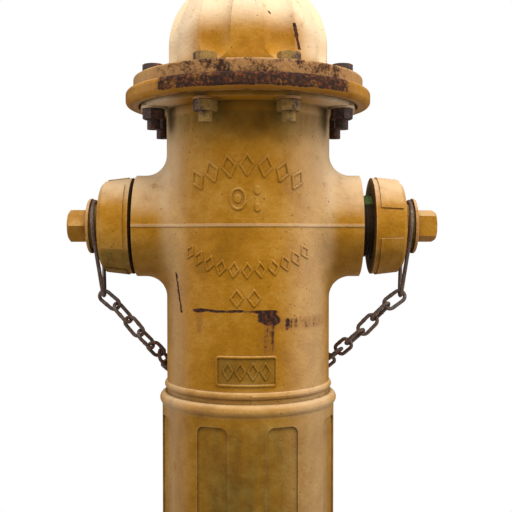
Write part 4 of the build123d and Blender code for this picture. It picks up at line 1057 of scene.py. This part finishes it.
class HYDRANT_OT_stage(bpy.types.Operator):
    """Sets up the camera, the soft lights, the pale room and the floor"""

    bl_idname = "hydrant.stage"
    bl_label = "Stage"

    def execute(self, context):
        settings = context.scene.hydrant_stage
        add_camera(context.scene, settings)
        aim = np.array([0.0, 0.0, OUTLET_Z])
        add_soft_light("light_top", aim + [0.25, -0.85, 1.35], aim, 1.1, settings.top_light)
        add_soft_light("light_front", aim + [-0.3, -2.0, 0.45], aim, 1.6, settings.front_light)
        add_soft_light("light_right", aim + [1.7, -0.25, 0.5], aim, 1.3, settings.side_light)
        add_soft_light("light_left", aim + [-1.7, -0.25, 0.5], aim, 1.3, 0.9 * settings.side_light)
        pale_room(context.scene, settings.surround)
        floor_disc("floor", 2.2)
        context.scene.view_settings.view_transform = "Standard"
        return {"FINISHED"}


class HYDRANT_OT_nozzles(bpy.types.Operator):
    """Cuts the threads of the three outlet nozzles"""

    bl_idname = "hydrant.nozzles"
    bl_label = "Threaded nozzles"

    def execute(self, context):
        settings = context.scene.hydrant_threads
        bronze = bronze_finish("nozzle_bronze", -0.10)
        mossy = mossy_nozzle_finish()
        for side, low, high, material in (
            ("left", -LEFT_NOZZLE[1][0], -LEFT_NOZZLE[0][0], bronze),
            ("right", RIGHT_NOZZLE[0][0], RIGHT_NOZZLE[1][0], mossy),
        ):
            piece = threaded_nozzle(
                f"{side}_hose_nozzle_threaded", side, thread_radius(RIGHT_NOZZLE), settings.hose_bore,
                low + SHANK_LENGTH, high, settings.hose_threads_per_inch, 160,
            )
            self.fit(piece, f"{side}_hose_nozzle", material)
        piece = threaded_nozzle(
            "pumper_nozzle_threaded", "pumper", thread_radius(PUMPER_NOZZLE), settings.pumper_bore,
            PUMPER_NOZZLE[0][1] + SHANK_LENGTH, PUMPER_NOZZLE[1][1],
            settings.pumper_threads_per_inch, 200,
        )
        self.fit(piece, "pumper_nozzle", bronze)
        return {"FINISHED"}

    def fit(self, piece, node, material):
        piece.data.materials.append(material)
        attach(piece, "root")
        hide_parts(node)


class HYDRANT_OT_chains(bpy.types.Operator):
    """Makes smooth welded links for the three chains"""

    bl_idname = "hydrant.chains"
    bl_label = "Chains"

    def execute(self, context):
        settings = context.scene.hydrant_chains
        steel = chain_steel_finish()
        for outlet in ("left_hose", "right_hose", "pumper"):
            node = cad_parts[f"{outlet}_chain"]
            piece = welded_links(
                f"{outlet}_chain_links", node, settings.wire_radius,
                settings.inner_length, settings.inner_width,
            )
            piece.data.materials.append(steel)
            ring_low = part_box(f"{outlet}_chain_ring")
            tail = (ring_low[0] + ring_low[1]) / 2
            tail.z = ring_low[0].z
            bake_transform(piece)
            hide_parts(f"{outlet}_chain")
        for node in CHAIN_HARDWARE:
            wear(node, steel)
        return {"FINISHED"}


class HYDRANT_OT_marks(bpy.types.Operator):
    """Casts two arcs of diamonds, a ring with studs, a pair and a framed row on the barrel"""

    bl_idname = "hydrant.marks"
    bl_label = "Cast marks"

    def execute(self, context):
        settings = context.scene.hydrant_marks
        material = barrel_finish(context.scene.hydrant_paint)
        wear("upper_barrel", material)
        marked = barrel_finish(context.scene.hydrant_paint, "cast_mark_paint", 0.0)
        relief = settings.relief
        upper, upper_lean = arch(
            7, settings.upper_spread, settings.upper_radius, settings.upper_middle, hollow=False,
        )
        lower, lower_lean = arch(
            11, settings.lower_spread, settings.lower_radius, settings.lower_middle, hollow=True,
        )
        ring = np.array([[-0.0106, 0.0297]])
        studs = np.array([[0.0118, 0.0395], [0.0118, 0.0200], [-0.0106, 0.0297]])
        pair = np.array([[-0.012, -0.084], [0.008, -0.084]])
        plate = np.array([[-0.0012, -0.1684]])
        row = np.array([[-0.0225, -0.1684], [-0.0080, -0.1684], [0.0065, -0.1684], [0.0210, -0.1684]])
        pieces = [
            raised_borders("cast_marks_upper", diamond(0.0078, 0.0120), upper, upper_lean, relief),
            raised_borders("cast_marks_lower", diamond(0.0056, 0.0085), lower, lower_lean, relief * 0.85),
            raised_borders("cast_ring", oval(0.0085, 0.0115), ring, [0], relief),
            raised_pads("cast_studs", studs, [0, 0, 0], 0.0042, 0.0052, 1.0, relief * 0.9),
            raised_borders("cast_pair", diamond(0.0070, 0.0095), pair, [0, 0], relief * 0.85),
            raised_borders("cast_plate", plate_outline(0.0350, 0.0163, 0.002), plate, [0], relief),
            raised_borders("cast_plate_row", diamond(0.0058, 0.0095), row, [0, 0, 0, 0], relief * 0.8),
        ]
        for piece in pieces:
            piece.data.materials.append(marked)
            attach(piece, "root")
        return {"FINISHED"}


class HYDRANT_OT_moss(bpy.types.Operator):
    """Grows a cushion of moss on the open nozzle, next to its boss"""

    bl_idname = "hydrant.moss"
    bl_label = "Moss"

    def execute(self, context):
        thread_r = thread_radius(RIGHT_NOZZLE)
        start = RIGHT_NOZZLE[0][0] + SHANK_LENGTH
        piece = moss_cushion("nozzle_moss", thread_r, start, 0.0046, math.radians(100), math.radians(55))
        piece.data.materials.append(moss_finish())
        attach(piece, "root")
        return {"FINISHED"}


class HYDRANT_OT_finishes(bpy.types.Operator):
    """Gives every remaining part of the frame its weathered finish, the paint with painted light and shade
    """

    bl_idname = "hydrant.finishes"
    bl_label = "Finishes"

    def execute(self, context):
        paint = context.scene.hydrant_paint
        wear("bonnet", bonnet_finish(paint))
        wear("weather_cap", plain_paint_finish(paint, "weather_cap_paint"))
        wear("left_hose_cap", cap_finish(paint, "left_cap_paint", 0.9))
        wear("right_hose_cap", cap_finish(paint, "right_cap_paint", 0.35))
        wear("pumper_cap", cap_finish(paint, "pumper_cap_paint", 0.5))
        wear("operating_nut", bronze_finish("worn_bronze", 0.22))
        groups = (
            (BOLTING, bolting_finish()),
            (BURIED, coated_iron_finish("buried_iron")),
            (BRONZE, bronze_finish("inner_bronze", 0.1)),
            (STEM, machined_steel_finish()),
            (RUBBER, rubber_finish()),
            (["thrust_washer", "drain_facings"], plastic_finish()),
        )
        for nodes, material in groups:
            for node in nodes:
                wear(node, material)
        return {"FINISHED"}


def add_camera(scene, settings):
    """A level camera in front of the outlets, tipped down a little."""
    data = bpy.data.cameras.new("camera")
    data.sensor_width = 36.0
    data.lens = settings.focal_length
    camera = bpy.data.objects.new("camera", data)
    camera.location = (
        settings.camera_side, -settings.camera_distance, OUTLET_Z - settings.camera_drop,
    )
    camera.rotation_euler = (math.pi / 2 - settings.camera_pitch, 0.0, 0.0)
    scene.collection.objects.link(camera)
    scene.camera = camera


def add_soft_light(name, place, aim, size, power):
    """A square area light that looks from its place at the aim."""
    data = bpy.data.lights.new(name, "AREA")
    data.size = size
    data.energy = power
    light = bpy.data.objects.new(name, data)
    light.location = place
    away = np.asarray(place) - np.asarray(aim)
    flat = math.hypot(away[0], away[1])
    light.rotation_euler = (math.atan2(flat, away[2]), 0.0, math.atan2(away[0], -away[1]))
    bpy.context.scene.collection.objects.link(light)


def pale_room(scene, strength):
    """White surroundings that light the hydrant less than they show."""
    world = bpy.data.worlds.new("pale_room")
    world.use_nodes = True
    tree = world.node_tree
    background = tree.nodes["Background"]
    background.inputs["Color"].default_value = (1.0, 1.0, 1.0, 1.0)
    seen = tree.nodes.new("ShaderNodeLightPath").outputs["Is Camera Ray"]
    level = tree.nodes.new("ShaderNodeMapRange")
    level.inputs["To Min"].default_value = strength
    level.inputs["To Max"].default_value = 1.0
    tree.links.new(seen, level.inputs["Value"])
    tree.links.new(level.outputs["Result"], background.inputs["Strength"])
    scene.world = world


def floor_disc(name, radius):
    """A thin round floor: rings of points from the middle out, and back underneath."""
    share = np.array([0.0, 0.5, 1.0, 1.0, 0.0])
    level = np.array([-0.0005, -0.0005, -0.0005, -0.02, -0.02])
    turn = np.arange(96) * (2 * math.pi / 96)
    x = radius * share[:, None] * np.cos(turn)
    y = radius * share[:, None] * np.sin(turn)
    points = np.stack([x, y, level[:, None] + 0 * x], axis=-1)
    floor = closed_piece(name, points, grid_faces(5, 96, wrap_columns=True))
    finish = Finish("pale_floor")
    cloud = finish.noise(0.4, 3.0)
    finish.surface(finish.mix(cloud, (0.80, 0.80, 0.79), (0.86, 0.86, 0.85)), 0.8)
    floor.data.materials.append(finish.material)
    return floor


class HYDRANT_PT_panel(bpy.types.Panel):
    """Shows the settings for the stage, threads, chains, marks and paint, with a button for each step"""

    bl_idname = "HYDRANT_PT_panel"
    bl_label = "Hydrant"
    bl_space_type = "VIEW_3D"
    bl_region_type = "UI"
    bl_category = "Hydrant"

    def draw(self, context):
        for group, operators in PANEL_ROWS:
            settings = getattr(context.scene, group)
            box = self.layout.box()
            for key in settings.bl_rna.properties.keys():
                if key not in {"rna_type", "name"}:
                    box.prop(settings, key)
            for operator in operators:
                box.operator(operator)


PANEL_ROWS = (
    ("hydrant_stage", ("hydrant.stage",)),
    ("hydrant_threads", ("hydrant.nozzles", "hydrant.moss")),
    ("hydrant_chains", ("hydrant.chains",)),
    ("hydrant_marks", ("hydrant.marks",)),
    ("hydrant_paint", ("hydrant.finishes",)),
)
GROUPS = {
    "hydrant_stage": StageSettings,
    "hydrant_threads": ThreadSettings,
    "hydrant_chains": ChainSettings,
    "hydrant_marks": MarkSettings,
    "hydrant_paint": PaintSettings,
}
CLASSES = (
    PaintSettings, ThreadSettings, ChainSettings, MarkSettings, StageSettings,
    HYDRANT_OT_stage, HYDRANT_OT_nozzles, HYDRANT_OT_chains, HYDRANT_OT_marks,
    HYDRANT_OT_moss, HYDRANT_OT_finishes, HYDRANT_PT_panel,
)


def register():
    for cls in CLASSES:
        bpy.utils.register_class(cls)
    for name, group in GROUPS.items():
        setattr(bpy.types.Scene, name, bpy.props.PointerProperty(type=group))


def unregister():
    for name in GROUPS:
        delattr(bpy.types.Scene, name)
    for cls in reversed(CLASSES):
        bpy.utils.unregister_class(cls)


def main():
    register()
    bpy.ops.hydrant.stage()
    bpy.ops.hydrant.nozzles()
    bpy.ops.hydrant.chains()
    bpy.ops.hydrant.marks()
    bpy.ops.hydrant.moss()
    bpy.ops.hydrant.finishes()


if __name__ == "__main__":
    main()
